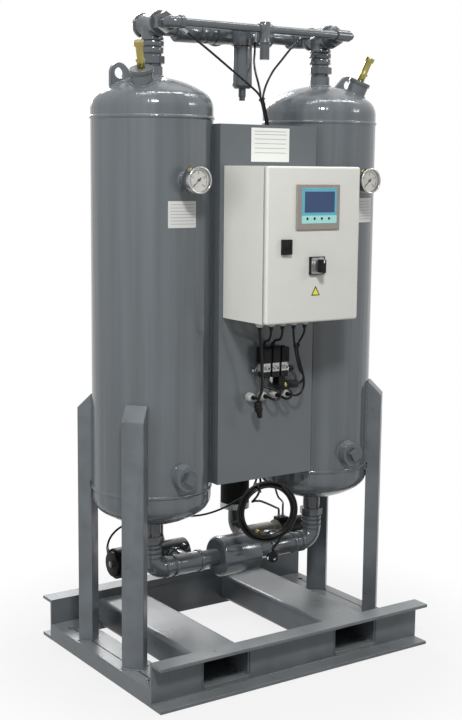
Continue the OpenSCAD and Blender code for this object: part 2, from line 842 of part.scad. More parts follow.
// Cross in the middle: air outlet to the rear, pilot filter to the front
module outlet_cross() {
    socket = 45;
    seat = socket - socket_depth;
    nipple = outlet_y + filter_y - filter_port;
    color(dark_paint) place() translate([0, outlet_y, tee_z]) difference() {
        union() {
            turned_x([[-cross_half, cross_half, neck_r - 1]]);
            turned_front([[-socket, 0, neck_r - 0.5], [-socket, 12 - socket, neck_r + 2], [0, nipple, 13]]);
        }
        turned_x([[-cross_half - 1, cross_half + 1, outlet_bore_r]]);
        turned_front([[-socket - 1, -seat, outlet_r], [-seat - eps, 0, outlet_bore_r - 1],
            [0, nipple + 1, 8]]);
    }
}

// Hex reducer in front of a tee
module purge_reducer() {
    translate([-axis_x, -tee_front, 0]) rotate([90, 0, 0]) rotate([0, 0, 30])
        cylinder(r = neck_r + 1, h = 25, $fn = 6);
}

module left_purge_branch() {
    turn = purge_y - tee_front - 25 - 6;
    stub = turn - axis_x;
    color(paint) place() translate([0, 0, tee_z]) {
        difference() {
            union() {
                purge_reducer();
                translate([-axis_x, 0, 0]) turned_front([[tee_front + 24, purge_y - turn, 15]]);
                translate([stub, turn - purge_y, 0]) rotate([0, 0, 180]) rotate_extrude(angle = 90)
                    translate([turn, 0]) circle(15);
                translate([0, -purge_y, 0]) turned_x([[stub, stub + 12, 17],
                    [stub + 12, throttle_x - 20, purge_r]]);
            }
            translate([-axis_x, 0, 0]) turned_front([[tee_front - 1, purge_y - turn, purge_bore_r]]);
            translate([stub, turn - purge_y, 0]) rotate([0, 0, 180]) rotate_extrude(angle = 90)
                translate([turn, 0]) circle(purge_bore_r);
            translate([0, -purge_y, 0]) turned_x([[stub - eps, throttle_x - 19, purge_bore_r]]);
        }
        rod([stub + 6, -purge_y, -15], left_tube_path[0] - [0, 0, tee_z], 5.5);
    }
}

module throttle_valve() {
    color(paint) place() translate([throttle_x, -purge_y, tee_z]) difference() {
        union() {
            turned_x([[-20, 20, purge_r + 3]]);
            translate([0, 0, -38]) turned_z([[0, 56, 15], [0, 5, 17], [-42, 0, 13]]);
        }
        turned_x([[-21, 21, purge_bore_r]]);
    }
}

module right_purge_branch() {
    half = 22;
    color(paint) place() translate([0, 0, tee_z]) {
        difference() {
            union() {
                mirror([1, 0, 0]) purge_reducer();
                translate([axis_x, 0, 0]) turned_front([[tee_front + 24, purge_y, 15]]);
                translate([0, -purge_y, 0]) turned_x([[throttle_x + 20, axis_x - half, purge_r],
                    [axis_x - half, axis_x + half, 15.5], [axis_x + half, axis_x + half + 6, 12]]);
                translate([axis_x + half + 6, -purge_y, 0]) rotate([0, 90, 0])
                    cylinder(r = 9, h = 8, $fn = 4);
            }
            translate([axis_x, 0, 0]) turned_front([[tee_front - 1, purge_y, purge_bore_r]]);
            translate([0, -purge_y, 0]) turned_x([[throttle_x + 19, axis_x + 8, purge_bore_r]]);
        }
        rod([176, -purge_y, -purge_r + 1], right_tube_path[0] - [0, 0, tee_z], 5.5);
    }
}

module filter_head() {
    fitting = filter_r + 12;
    color(paint) place() translate([0, -filter_y, 0]) {
        difference() {
            turned_z([[filter_low, filter_top, filter_r]]);
            turned_z([[filter_low - 1, filter_low + 6, filter_r - 9]]);
        }
        translate([0, 0, tee_z]) turned_front([[-filter_port, -10, 16]]);
        translate([0, 0, filter_top - 18]) turned_x([[filter_r - 1, fitting, 5]]);
        translate([fitting, 0, 0]) turned_z([[centre_tube_path[0].z, filter_top - 12, 5.5]]);
    }
}

module filter_bowl() {
    low = filter_low - bowl_len;
    inner = filter_r - 3 - bowl_wall;
    color(paint) place() translate([0, -filter_y, 0]) difference() {
        union() {
            translate([0, 0, low + 8]) cylinder(r1 = filter_r - 2, r2 = filter_r - 3.5, h = bowl_len - 8);
            translate([0, 0, low]) cylinder(r1 = filter_r - 8, r2 = filter_r - 2, h = 8);
            turned_z([[low - 22, low, 10], [low - 32, low - 22, 8]]);
        }
        turned_z([[low + 10, filter_low + 1, inner - 1], [low - 33, low + 11, 3]]);
    }
}

module filter_element() {
    color("#d8d8d2") place() translate([0, -filter_y, 0]) difference() {
        turned_z([[filter_low - bowl_len + 25, filter_low + 6, filter_r - 12]]);
        turned_z([[filter_low - bowl_len + 30, filter_low + 7, filter_r - 18]]);
    }
}

// Bottom piping: union, elbow, tee and pipe of the left side
module bottom_leg(side) {
    elbow_x = bend_r - axis_x;
    tee_half = 47;
    union_low = nozzle_end - 42;
    mirrored(side) difference() {
        union() {
            translate([-axis_x, 0, 0]) {
                turned_z([[bottom_z + bend_r, nozzle_end, nozzle_r - 1],
                    [union_low, union_low + 10, nozzle_r + 4],
                    [union_low - 14, union_low - 3, nozzle_r + 4],
                    [bottom_z + bend_r, union_low - 17, nozzle_r + 4]]);
                translate([0, 0, nozzle_end - 28]) cylinder(r = nozzle_r + 9, h = 20, $fn = 8);
            }
            translate([elbow_x, 0, bottom_z + bend_r]) rotate([90, 0, 0]) rotate([0, 0, 180])
                bent(nozzle_r + 3);
            translate([0, 0, bottom_z]) {
                turned_x([[elbow_x, elbow_x + 12, nozzle_r + 6], [elbow_x, -drum_half, nozzle_r],
                    [elbow_x + 12, tee_half - branch_x, nozzle_r + 3],
                        [-branch_x - tee_half, 10 - branch_x - tee_half, nozzle_r + 6],
                    [tee_half - 10 - branch_x, tee_half - branch_x, nozzle_r + 6]]);
                translate([-branch_x, 0, 0]) turned_front([[-valve_face, 0, nozzle_r + 2.5],
                    [-valve_face, 10 - valve_face, nozzle_r + 6]]);
            }
        }
        translate([-axis_x, 0, 0]) turned_z([[bottom_z + bend_r - 1, nozzle_end + 1, main_bore_r]]);
        translate([elbow_x, 0, bottom_z + bend_r]) rotate([90, 0, 0]) rotate([0, 0, 180])
            bent(main_bore_r - 1);
        translate([0, 0, bottom_z]) {
            turned_x([[elbow_x - 1, 1 - drum_half, main_bore_r]]);
            translate([-branch_x, 0, 0]) turned_front([[-valve_face - 1, 0, main_bore_r - 1]]);
        }
    }
}

module left_bottom_leg() {
    color(paint) bottom_leg(-1);
}

module right_bottom_leg() {
    color(paint) bottom_leg(1);
}

// Drum in the middle of the bottom line, with the air inlet socket at the rear
module inlet_drum() {
    lip = 6;
    socket = drum_r + 38;
    color(paint) place() translate([0, 0, bottom_z]) difference() {
        union() {
            turned_x([[lip - drum_half, drum_half - lip, drum_r]]);
            for (s = [-1, 1]) translate([s * (drum_half - lip), 0, 0]) rotate([0, s * 90, 0])
                cylinder(r1 = drum_r, r2 = drum_r - lip, h = lip);
            turned_front([[-socket, 0, nozzle_r + 4]]);
        }
        turned_x([[drum_wall + 1 - drum_half, drum_half - drum_wall - 1, drum_r - drum_wall],
            [-drum_half - 1, drum_half + 1, main_bore_r]]);
        turned_front([[-socket - 1, socket_depth - socket, inlet_r], [-socket, 0, main_bore_r]]);
    }
}

// Purge valve of the left side: body, actuator, boxes on it, and air fittings, each [foot, tip]
module purge_valve(side, boxes, fittings) {
    cap = 10;
    mirrored(side) translate([0, 0, bottom_z]) difference() {
        union() {
            translate([0, valve_y, 0]) turned_x([[-198, -110, valve_r], [-222, -198, 26],
                [cap - actuator_end, -222, actuator_r], [-actuator_end, cap - actuator_end, actuator_r - 8],
                [-actuator_end - 4, -actuator_end, 9]]);
            translate([-branch_x, 0, 0]) turned_front([[-valve_y, -valve_face, nozzle_r + 3]]);
            translate([-silencer_x, 0, 0]) turned_front([[-exhaust_face, -valve_y, exhaust_r + 4]]);
            translate([-130, 0, 25]) turned_front([[28 - valve_y, 42 - valve_y, 8]]);
            for (b = boxes) block(b[0], b[1]);
            for (f = fittings) rod(f[0], f[1], 4.5);
        }
        translate([-branch_x, 0, 0]) turned_front([[-valve_y, 1 - valve_face, main_bore_r]]);
        translate([-silencer_x, 0, 0]) turned_front([[-exhaust_face - 1, -valve_y, exhaust_r - 4]]);
        translate([0, valve_y, 0]) turned_x([[-190, -118, 18]]);
    }
}

module left_purge_valve() {
    tip = left_actuator_path[0] - [0, 0, bottom_z];
    color(black) purge_valve(-1, [], [[[tip.x, valve_y + 20, 5], tip]]);
}

module right_purge_valve() {
    low = actuator_r - 12;
    high = actuator_r + 8;
    ends = [right_actuator_path[0], sensor_lead[len(sensor_lead) - 1]];
    color(black) purge_valve(1, [[[-258, valve_y - 14, low], [-223, valve_y + 14, high]]],
        [for (e = ends) [[-e.x, e.y, low], [-e.x, e.y, e.z - bottom_z - 0.4]]]);
}

// Exhaust elbow, collar and silencer of the left side
module silencer(side) {
    mirrored(side) translate([-silencer_x, 0, 0]) difference() {
        union() {
            translate([0, 0, bottom_z]) turned_front([[bend_r - silencer_y, -exhaust_face, exhaust_r]]);
            translate([0, silencer_y - bend_r, bottom_z + bend_r]) rotate([-90, 0, 90]) bent(exhaust_r);
            translate([0, silencer_y, 0]) turned_z([[bottom_z + bend_r, collar_z, exhaust_r],
                [collar_z, collar_z + collar_h, silencer_r + 1],
                    [collar_z + collar_h, collar_z + silencer_len, silencer_r]]);
        }
        translate([0, silencer_y, 0])
            turned_z([[collar_z + 4, collar_z + silencer_len - 6, silencer_r - 8]]);
    }
}

module left_silencer() {
    color(black) silencer(-1);
}

module right_silencer() {
    color(black) silencer(1);
}

// Folded panel between the vessels: its side folds end just short of the vessel skin
module control_panel() {
    skin_y = sqrt(pow(vessel_r, 2) - pow(axis_x - panel_half, 2));
    back = panel_y - panel_t;
    color(paint) place() difference() {
        union() {
            block([-panel_half, -panel_y, panel_low], [panel_half, -back, panel_high]);
            for (s = [0, 1]) mirror([s, 0, 0])
                block([-panel_half, -back - eps, panel_low],
                    [panel_t - panel_half, -skin_y - weld_gap, panel_high]);
        }
        for (x = panel_gland_x) translate([x, 0, gland_z])
            turned_front([[back - 1, panel_y + 1, gland_r + gland_clear]]);
        for (x = coil_x) translate([x, 0, pilot_z - 20])
            turned_front([[back - 1, panel_y + 1, 6 + gland_clear]]);
    }
}

// Cabinet
module cabinet_body() {
    half = cab_w / 2;
    high = cab_z + cab_h;
    color(pale) place() {
        translate([cab_x, 0, 0]) difference() {
            block([-half, -cab_front, cab_z], [half, -panel_y, high]);
            block([sheet - half, sheet - cab_front, cab_z + sheet],
                [half - sheet, -panel_y - sheet, high - sheet]);
            block([cab_rim - half, -cab_front - 1, cab_z + cab_rim],
                [half - cab_rim, sheet + 1 - cab_front, high - cab_rim]);
            for (x = cab_gland_x) translate([x, -cab_gland_y, cab_z - 1])
                cylinder(r = gland_r + gland_clear, h = sheet + 2);
        }
        for (rise = hinge_rise) translate([0, 0, cab_z + rise]) difference() {
            union() {
                translate([pin_x, -pin_y, -eye_h / 2]) cylinder(r = pin_r + 2, h = eye_h);
                block([pin_x - 2, -pin_y, -eye_h / 2], [pin_x + 2, -cab_front + eps, eye_h / 2]);
            }
            translate([pin_x, -pin_y, -eye_h]) cylinder(r = pin_r + turn_clear, h = 2 * eye_h);
        }
    }
}

// Door: a folded tray with its hinge pins, notched at the hinge eyes
module cabinet_door() {
    half = cab_w / 2;
    high = cab_z + cab_h;
    notch = eye_h / 2 + 2;
    tab = 4;
    color(pale) place() {
        difference() {
            translate([cab_x, 0, 0]) difference() {
                block([-half, -door_front, cab_z], [half, -door_back, high]);
                block([sheet - half, sheet - door_front, cab_z + sheet],
                    [half - sheet, 1 - door_back, high - sheet]);
                block([hmi_x - hmi_w / 2 + 8, -door_front - 1, cab_z + hmi_z - hmi_h / 2 + 8],
                    [hmi_x + hmi_w / 2 - 8, sheet + 1 - door_front, cab_z + hmi_z + hmi_h / 2 - 8]);
                translate([latch_x, 0, cab_z + latch_z])
                    turned_front([[door_front - sheet - 1, door_front + 1, latch_r]]);
                translate([switch_x, 0, cab_z + switch_z])
                    turned_front([[door_front - sheet - 1, door_front + 1, switch_r + 5 + gland_clear]]);
            }
            for (rise = hinge_rise)
                block([cab_x + half - sheet - eps, sheet - door_front, cab_z + rise - notch],
                [cab_x + half + 1, 1 - door_back, cab_z + rise + notch]);
        }
        for (rise = hinge_rise) translate([0, 0, cab_z + rise]) {
            translate([pin_x, -pin_y, -notch - eps]) cylinder(r = pin_r, h = 2 * notch + 2 * eps);
            for (s = [-1, 1]) translate([0, 0, s * (notch + tab / 2)])
                block([pin_x - 4, eps - door_front, -tab / 2], [cab_x + half - eps, 4 - pin_y, tab / 2]);
        }
    }
}

// Latch: knob, shaft and the cam behind the rim, pointing down while unlocked
module door_latch() {
    back = cab_front - sheet - 3;
    color(black) place() translate([cab_x + latch_x, 0, cab_z + latch_z]) {
        block([-14.5, -door_front - knob_gap - latch_t, -19], [14.5, -door_front - knob_gap, 19]);
        turned_front([[back - 3, door_front + knob_gap + eps, latch_r - turn_clear]]);
        block([-7, -back, -52], [7, 3 - back, 0]);
    }
}

module hmi() {
    clear = 8 + plug_clear;
    color("#8a8782") place() translate([cab_x + hmi_x, 0, cab_z + hmi_z]) {
        block([-hmi_w / 2, -door_front - hmi_t, -hmi_h / 2], [hmi_w / 2, -door_front, hmi_h / 2]);
        block([clear - hmi_w / 2, -door_front - eps, clear - hmi_h / 2],
            [hmi_w / 2 - clear, 36 - door_front, hmi_h / 2 - clear]);
    }
}

module switch_plate() {
    half = switch_w / 2;
    inner = door_front - sheet;
    color(black) place() translate([cab_x + switch_x, 0, cab_z + switch_z]) difference() {
        union() {
            block([-half, -plate_front, -half], [half, -door_front, half]);
            turned_front([[inner - eps, door_front + eps, switch_r + 5]]);
            block([-20, -inner, -20], [20, 48 - inner, 20]);
        }
        turned_front([[inner - 20, plate_front + 1, switch_r]]);
    }
}

module switch_knob() {
    back = plate_front + knob_gap;
    color(black) place() translate([cab_x + switch_x, 0, cab_z + switch_z]) {
        turned_front([[door_front - 15, back + eps, switch_r - turn_clear], [back, back + 9, 17]]);
        block([-6, -back - knob_d, -17], [6, -back - 9 + eps, 17]);
    }
}

// Mounting plate with its rail, controller, supply and terminals
module controls_plate() {
    back = panel_y + sheet;
    face = back + 2;
    color(steel) place() translate([cab_x, 0, cab_z]) {
        block([-130, -face, 30], [130, -back, cab_h - 30]);
        for (z = [105, 275]) block([-120, -face - 8, z - 17], [120, eps - face, z + 17]);
        block([-110, -face - 66, 232], [10, -face - 8 + eps, 322]);
        block([30, -face - 60, 232], [104, -face - 8 + eps, 322]);
        for (i = [0 : 13]) block([-112 + 16 * i, -face - 48, 78], [-98 + 16 * i, -face - 8 + eps, 132]);
    }
}

module cable_gland() {
    turned_z([[-gland_len, -gland_head, 11.5], [-gland_head, 0, 13],
        [-gland_len - gland_head, -gland_len, 8]]);
}

module cable_glands() {
    color(steel) place() {
        for (x = cab_gland_x) translate([cab_x + x, -cab_gland_y, cab_z]) {
            cable_gland();
            turned_z([[-eps, sheet + eps, gland_r], [sheet, sheet + 6, 11]]);
        }
        for (x = panel_gland_x) translate([x, -panel_y, gland_z]) rotate([-90, 0, 0]) {
            cable_gland();
            turned_z([[-eps, panel_t + eps, gland_r], [panel_t, panel_t + gland_nut, 11]]);
        }
    }
}

// Pilot valves on the panel under the cabinet, with the pressure switch on their side
module pilot_valve_block() {
    low = pilot_z - 40;
    rail = panel_y + 14;
    color(steel) place() {
        block([-40, -rail, low + 4], [52, -panel_y, pilot_z - 4]);
        block([24, -rail - 12, low - 40], [44, -panel_y, low + 6]);
        translate([0, -panel_y - 15, pilot_z - 67]) turned_x([[43, 54, 9], [54, switch_end, 11]]);
        for (x = coil_x) {
            block([x - 11, -rail - 22, low + 2], [x + 11, 1 - rail, pilot_z]);
            translate([x, 0, pilot_z - 20]) turned_front([[pilot_port_y, panel_y + eps, 6]]);
            translate([x - 4, -panel_y - 18, 0]) turned_z([[low - 16, low + 3, 6]]);
        }
    }
}

module solenoid_coils() {
    color(black) place() for (x = coil_x) translate([x, -panel_y, pilot_z])
        block([-coil_w / 2, -40, 0], [coil_w / 2, -2, 42]);
}

// Cords
module left_pilot_tube() {
    color(black) place() cord(left_tube_path, tube_d, 3);
}

module centre_pilot_tube() {
    color(black) place() cord(centre_tube_path, tube_d, 3);
}

module right_pilot_tube() {
    color(black) place() cord(right_tube_path, tube_d, 3);
}

module left_actuator_tube() {
    color(black) place() cord(left_actuator_path, tube_d, 3);
}

module right_actuator_tube() {
    color(black) place() cord(right_actuator_path, tube_d, 3);
}

module control_leads() {
    color(black) place() {
        cord(first_coil_lead, lead_d, 2);
        cord(second_coil_lead, lead_d, 2);
        cord(switch_lead, lead_d, 2);
        cord(supply_lead, lead_d, 2);
        cord(connector_lead, mains_d, 2);
        cord(connector_stub, lead_d, 2);
        cord(connector_body, connector_d, 2);
        cord(left_pilot_lead, lead_d, 2);
        cord(right_pilot_lead, lead_d, 2);
        cord(sensor_lead, thin_lead_d, 3);
    }
}

// Mains cable: lead from the gland to the hanging coil, and the tail from the coil to the plug
module power_cable() {
    color(black) place() {
        cord(mains_path, mains_d, 4);
        cord(tail_path, mains_d, 4);
    }
}

module power_coil() {
    color(black) place() translate(coil_at) rotate([0, 0, coil_yaw]) rotate([90, 0, 0])
        rotate_extrude($fn = 64) translate([coil_turn_r, 0]) circle(coil_pack_r, $fn = 16);
}

// Right-angle plug: the cable enters from above and the pins face forwards
module power_plug() {
    color(black) place() translate(plug_at) rotate([0, 0, plug_yaw]) {
        turned_front([[-plug_deep / 2, plug_deep / 2, plug_r],
            [-plug_deep / 2 - 4, eps - plug_deep / 2, plug_r - 6]]);
        turned_z([[plug_r - 4, plug_r, plug_r / 2], [0, plug_r, 8]]);
        for (s = [-1, 1]) translate([s * 9.5, 0, 0])
            turned_front([[plug_deep / 2 - eps, plug_deep / 2 + 19, 2.4]]);
    }
}

front_channel();
rear_channel();
left_side_channel();
right_side_channel();
left_fork_tube();
right_fork_tube();
posts();
left_vessel();
right_vessel();
left_desiccant_bed();
right_desiccant_bed();
bed_strainers();
vessel_plugs();
safety_valves();
left_gauge();
left_pointer();
left_gauge_glass();
right_gauge();
right_pointer();
right_gauge_glass();
left_top_union();
right_top_union();
left_outlet_tee();
right_outlet_tee();
left_check_valve();
right_check_valve();
outlet_cross();
left_purge_branch();
throttle_valve();
right_purge_branch();
filter_head();
filter_bowl();
filter_element();
left_bottom_leg();
right_bottom_leg();
inlet_drum();
left_purge_valve();
right_purge_valve();
left_silencer();
right_silencer();
control_panel();
cabinet_body();
cabinet_door();
door_latch();
hmi();
switch_plate();
switch_knob();
controls_plate();
cable_glands();
pilot_valve_block();
solenoid_coils();
left_pilot_tube();
centre_pilot_tube();
right_pilot_tube();
left_actuator_tube();
right_actuator_tube();
control_leads();
power_cable();
power_coil();
power_plug();
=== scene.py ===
"""Twin-vessel desiccant air dryer: finishes, cords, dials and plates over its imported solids."""

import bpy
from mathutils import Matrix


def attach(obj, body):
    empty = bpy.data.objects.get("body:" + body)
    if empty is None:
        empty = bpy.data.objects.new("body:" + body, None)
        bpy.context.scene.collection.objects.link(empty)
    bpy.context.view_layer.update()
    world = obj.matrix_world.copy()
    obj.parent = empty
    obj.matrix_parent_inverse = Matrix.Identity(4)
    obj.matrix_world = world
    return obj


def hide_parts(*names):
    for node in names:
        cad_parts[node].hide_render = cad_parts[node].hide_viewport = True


bl_info = {
    "name": "Desiccant Air Dryer",
    "version": (1, 0, 0),
    "blender": (4, 5, 0),
    "location": "View3D > Sidebar > Dryer",
    "description": "Dresses the packed dryer with enamel, metal, cords, dials and plates",
    "category": "Object",
}

import math

import bmesh
import bpy
from mathutils import Matrix, Vector

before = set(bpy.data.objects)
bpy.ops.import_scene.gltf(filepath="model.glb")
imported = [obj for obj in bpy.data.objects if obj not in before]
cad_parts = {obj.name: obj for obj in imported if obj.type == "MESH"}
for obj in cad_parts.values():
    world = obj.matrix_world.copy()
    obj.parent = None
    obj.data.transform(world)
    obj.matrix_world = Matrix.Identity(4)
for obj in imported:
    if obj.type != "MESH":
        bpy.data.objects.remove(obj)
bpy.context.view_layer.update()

ROOT = "dryer"
DOOR = "door"
SWITCH = "switch"
LATCH = "latch"
MM = 0.001
RIGHT = Vector((1, 0, 0))
FRONT = Vector((0, -1, 0))
UP = Vector((0, 0, 1))

# Finishes that many pieces share.
NYLON = "moulded black nylon"
IRON = "enamel on malleable iron"

# Places that the plates, welds and dials sit on, in millimetres. The skid's middle stands SKID_BACK
# behind the frame's origin.
SKID_BACK = 20
WEB_Y = 287
POCKETS_X = (-220, 220)
VESSEL_X = 278.5
VESSEL_R = 161.95
CROWN_R = 259.12
CROWN_HIGH = 1339.304
CROWN_LOW = 655.696
FILL_BOSS = (71, -73, 238.31)
DRAIN_Z = 556
GAUGE_Z = 1333
GAUGE_FACE_Y = -217.95
DIAL_Y = -207.95
DIAL_START, DIAL_SWEEP = 225, 270
PANEL_Y = -125
PANEL_FOLD = (157.4, -87.2)
DOOR_Y = -320
SHEET_BACK_Y = -318.4
DOOR_X, DOOR_Z = 5, 1170
DOOR_WIDE, DOOR_HIGH = 300, 400
HINGES_Z = (1060, 1280)
FILM_Y = -326
SWITCH_X, SWITCH_Y, SWITCH_Z = 12, -328, 1117
LATCH_X, LATCH_Z = -87, 1167
ACTUATOR_Y, ACTUATOR_Z = 120, 260
COILS_X = (-24, 6, 36)
CABINET_GLANDS = ((-90, -53, -16, 21, 58), -217, 970)
PANEL_GLANDS = ((-58, -18, 23, 57), PANEL_Y, 749)
PLUG_MIDDLE = Vector((28, -130, 287))
PLUG_PINS = Vector((-1, -1, 0)).normalized()

# Camera at the photograph's angle: yaw, pitch and roll in degrees, place in metres, lens in
# millimetres. The floor is in metres too.
CAMERA_TURN = (-34.307, -8.573, 0.579)
CAMERA_AT = (-2.014942, -2.9053, 1.361915)
CAMERA_LENS, CAMERA_SENSOR = 63.41, 36
FLOOR_HALF = 12
# Lamps: place, aim and size in metres, and power in watts.
LIGHTS = (
    ("key light", (-1.75, -3.3, 3.75), (0, 0, 0.95), (0.6, 0.6), 140),
    ("left light", (-4.0, -0.9, 2.0), (0, 0, 1.0), (3.0, 3.0), 78),
    ("right light", (2.8, -2.6, 2.6), (0, 0, 1.0), (0.7, 0.7), 28),
    ("ceiling light", (1.0, -0.3, 4.6), (1.0, -0.25, 0), (5.0, 0.4), 105),
    ("back light", (1.0, 3.4, 2.6), (0, 0, 1.0), (1.6, 1.6), 90))

# Part of a noise's range that the enamel's tone and gloss run over.
NOISE_SPAN = (0.3, 0.7)
COAT_IOR = 1.5
# Points closer than this are one, and edges sharper than SHARP degrees are eased.
SEAM = 0.02 * MM
SHARP = 35

# Strokes of the dial's figures, on a grid two wide and four high.
FIGURES = {
    "0": ((0, 0), (2, 0), (2, 4), (0, 4), (0, 0)),
    "1": ((0.4, 3.2), (1.2, 4), (1.2, 0)),
    "2": ((0, 4), (2, 4), (2, 2), (0, 2), (0, 0), (2, 0)),
    "4": ((1.5, 0), (1.5, 4), (0, 1.4), (2.2, 1.4)),
    "6": ((2, 4), (0, 4), (0, 0), (2, 0), (2, 2), (0, 2)),
    "8": ((0, 2), (0, 4), (2, 4), (2, 0), (0, 0), (0, 2), (2, 2)),
}

# Ends of the air tubes that lie in planes across the dryer, as depth and height: the bends into the
# pilot valves and into the panel's glands.
VALVE_END = ((-110, 880), (-110, 850), (-112.1, 839.3), (-118.2, 830.2), (-127.3, 824.1), (-137.6, 822))
GLAND_END = ((-105, 715), (-107.1, 731.7), (-113.2, 740.8), (-122.3, 746.9), (-132.6, 749))


def end_at(x, end):
    """An end of a tube, at its place across the dryer."""
    return [(x, y, z) for y, z in end]


# Routes of the cords, in millimetres, in the skid's own frame.
ROUTES = {
    "left_pilot_tube": [
        (-234, -100, 1706), (-222, -101, 1699), (-160, -107, 1658), (-90, -113, 1610),
        (-46, -118, 1579), (-24, -122, 1561), (-14.5, -123, 1547), (-8, -123, 1528),
        (-2.5, -122, 1508), (4.5, -121, 1480), (3, -118, 1440), (-6, -113, 1380), (-16, -110, 1300),
        (-22, -110, 1150), (-24, -110, 1000), *end_at(-24, VALVE_END)],
    "centre_pilot_tube": [
        (41, -13, 1706), (40.5, -13.5, 1694), (36, -19, 1675), (24, -34, 1650), (12, -58, 1622),
        (2, -84, 1595), (-6, -106, 1568), (-11, -117, 1547), (-5, -117, 1528), (0.8, -116.5, 1508),
        (7.8, -115.5, 1480), (8, -113, 1440), (7, -111, 1380), (6, -110, 1300), (6, -110, 1150),
        (6, -110, 1000), *end_at(6, VALVE_END)],
    "right_pilot_tube": [
        (160, -99, 1716), (148, -100, 1715), (130, -103, 1710), (108, -106, 1696), (88, -108, 1680),
        (62, -111, 1654), (32, -114, 1624), (10, -118, 1594), (-3, -121, 1568), (-8, -123, 1547),
        (-1.5, -123, 1528), (4, -122, 1508), (11, -121, 1480), (13, -118, 1440), (19, -113, 1380),
        (26, -110, 1300), (34, -110, 1150), (36, -110, 1000), *end_at(36, VALVE_END)],
    "left_actuator_tube": [
        (-344, 135, 300), (-342, 135, 309), (-337, 134.5, 322), (-326, 133, 337), (-306, 130, 352),
        (-275, 126, 363), (-230, 118, 368), (-170, 104, 367), (-110, 86, 366), (-70, 62, 371),
        (-48, 20, 390), (-36, -30, 418), (-22, -80, 452), (-14, -106, 480), (-7, -116, 512),
        (-7, -117, 560), (-13, -114, 630), (-17, -107, 690), *end_at(-18, GLAND_END)],
    "right_actuator_tube": [
        (247, 100, 320.4), (247, 100, 332), (244, 96, 345), (236, 85, 357), (219, 65, 368),
        (186, 26, 386), (140, -20, 413), (98, -66, 446), (66, -99, 484), (46, -112, 525),
        (34, -114, 570), (27, -111, 630), (23, -106, 690), *end_at(23, GLAND_END)],
    "mains_lead": [
        (57, -132.6, 749), (57, -120, 747.2), (57, -107.5, 741), (57, -98, 730.5), (57, -93.5, 716),
        (57, -95, 699), (56, -103.5, 672), (53, -119, 640), (49, -129, 605), (43, -133, 575),
        (37, -134, 548), (34.2, -135.2, 530), (33.8, -139, 515), (36.6, -146.5, 503),
        (41.4, -154.8, 494.6), (47.4, -163, 486.7)],
    "mains_tail": [
        (51, -164, 349), (43, -159, 334), (36, -154, 321), (30, -151, 312), (28, -150, 308),
        (28, -150, 303)],
    "first_coil_lead": [
        (-53, -237, 939.6), (-53, -236, 928), (-50, -226, 916), (-43, -208, 909), (-34, -188, 906),
        (-27, -173, 901), (-24, -167, 893), (-24, -166, 884.4)],
    "second_coil_lead": [
        (-16, -237, 939.6), (-16, -236, 928), (-13, -226, 916), (-7, -208, 909), (0, -188, 906),
        (4, -174, 901), (6, -167, 893), (6, -166, 884.4)],
    "switch_lead": [
        (21, -237, 939.6), (21.4, -237, 929), (24, -235.6, 916), (34.3, -227.8, 887.5),
        (50.8, -214.7, 857.3), (69.7, -199.4, 829.7), (80.5, -190.6, 817.6), (86.6, -185.9, 812.6),
        (93.3, -181, 808.7), (100, -176, 804.8), (106.8, -170.9, 800.8), (112.2, -166.2, 794.6),
        (114.2, -162.8, 786.6), (110.7, -160.7, 779.1), (102.9, -160, 775.2), (93.4, -160, 775)],
    "supply_lead": [
        (58, -237, 939.6), (57, -237, 929), (50, -235, 914), (42, -230, 895), (52, -219, 868),
        (70, -207, 838), (88, -196, 806), (92, -195, 780), (85, -196, 760), (71, -195, 750),
        (60, -188, 749), (57, -175.4, 749)],
    "connector_lead": [
        (-90, -237, 939.6), (-88, -237, 925), (-80, -231, 890), (-66, -216, 830), (-58, -206, 780),
        (-59, -199, 760), (-62, -194, 746)],
    "connector_stub": [
        (-58, -175.4, 749), (-58, -186, 749), (-60, -192, 745), (-62, -194, 736)],
    "connector_body": [
        (-62, -194, 743), (-60, -193, 728), (-55, -191, 712), (-51, -189, 698)],
    "left_pilot_lead": [
        (-18, -175.4, 749), (-18, -186, 748.5), (-14.5, -196, 746), (-6, -203, 745.5),
        (3.5, -204.5, 751), (7.5, -200, 760), (3.5, -192, 767.5), (-5, -183, 771.5), (-14.5, -174.6, 774),
        (-22.5, -168, 776.6), (-27, -164, 780.6), (-28, -163, 785.6)],
    "right_pilot_lead": [
        (23, -175.4, 749), (23, -186, 748), (25.4, -197.4, 744.8), (31, -207, 745.2), (36, -212.5, 752.8),
        (36, -212, 763.4), (30.5, -205, 771.6), (21.5, -193, 775.2), (12.5, -180.6, 776.4),
        (5.6, -170.4, 778), (2.6, -164.8, 781), (2, -163, 785.6)],
    "sensor_lead": [
        (-58, -132.6, 749), (-58, -122.5, 748), (-58, -113, 743), (-57.8, -107, 734),
        (-57.2, -106, 722), (-55, -110, 700), (-46, -121, 650), (-32, -130, 600), (-14, -132, 550),
        (-8, -131, 525), (-4, -130, 500), (-5, -129.2, 481), (-10, -127, 464), (-17.5, -121.5, 450.5),
        (-18.5, -112.5, 442), (-9, -103, 439), (6, -90.5, 435.5), (30, -70.5, 427.6), (60, -46, 417),
        (140, 20, 380), (200, 71, 351), (217, 86, 343.5), (227, 95, 337.5), (231.4, 99.4, 330),
        (232, 100, 320.4)],
}
COIL_MIDDLE = (7, -150, 419)
# A cord's curve has at least this many points.
FEWEST_POINTS = 15


def linear(code):
    """Linear colour of an sRGB hex code."""
    channels = [int(code[i:i + 2], 16) / 255 for i in (0, 2, 4)]
    return tuple(c / 12.92 if c <= 0.04045 else ((c + 0.055) / 1.055) ** 2.4 for c in channels)


def swatch(name, description, code):
    """A colour that the user can change."""
    return bpy.props.FloatVectorProperty(
        name=name, description=description, subtype="COLOR", size=3, min=0, max=1, default=linear(code))


def length(name, description, default):
    """A length that the user can change."""
    return bpy.props.FloatProperty(
        name=name, description=description, unit="LENGTH", min=0.0001, precision=4, default=default)


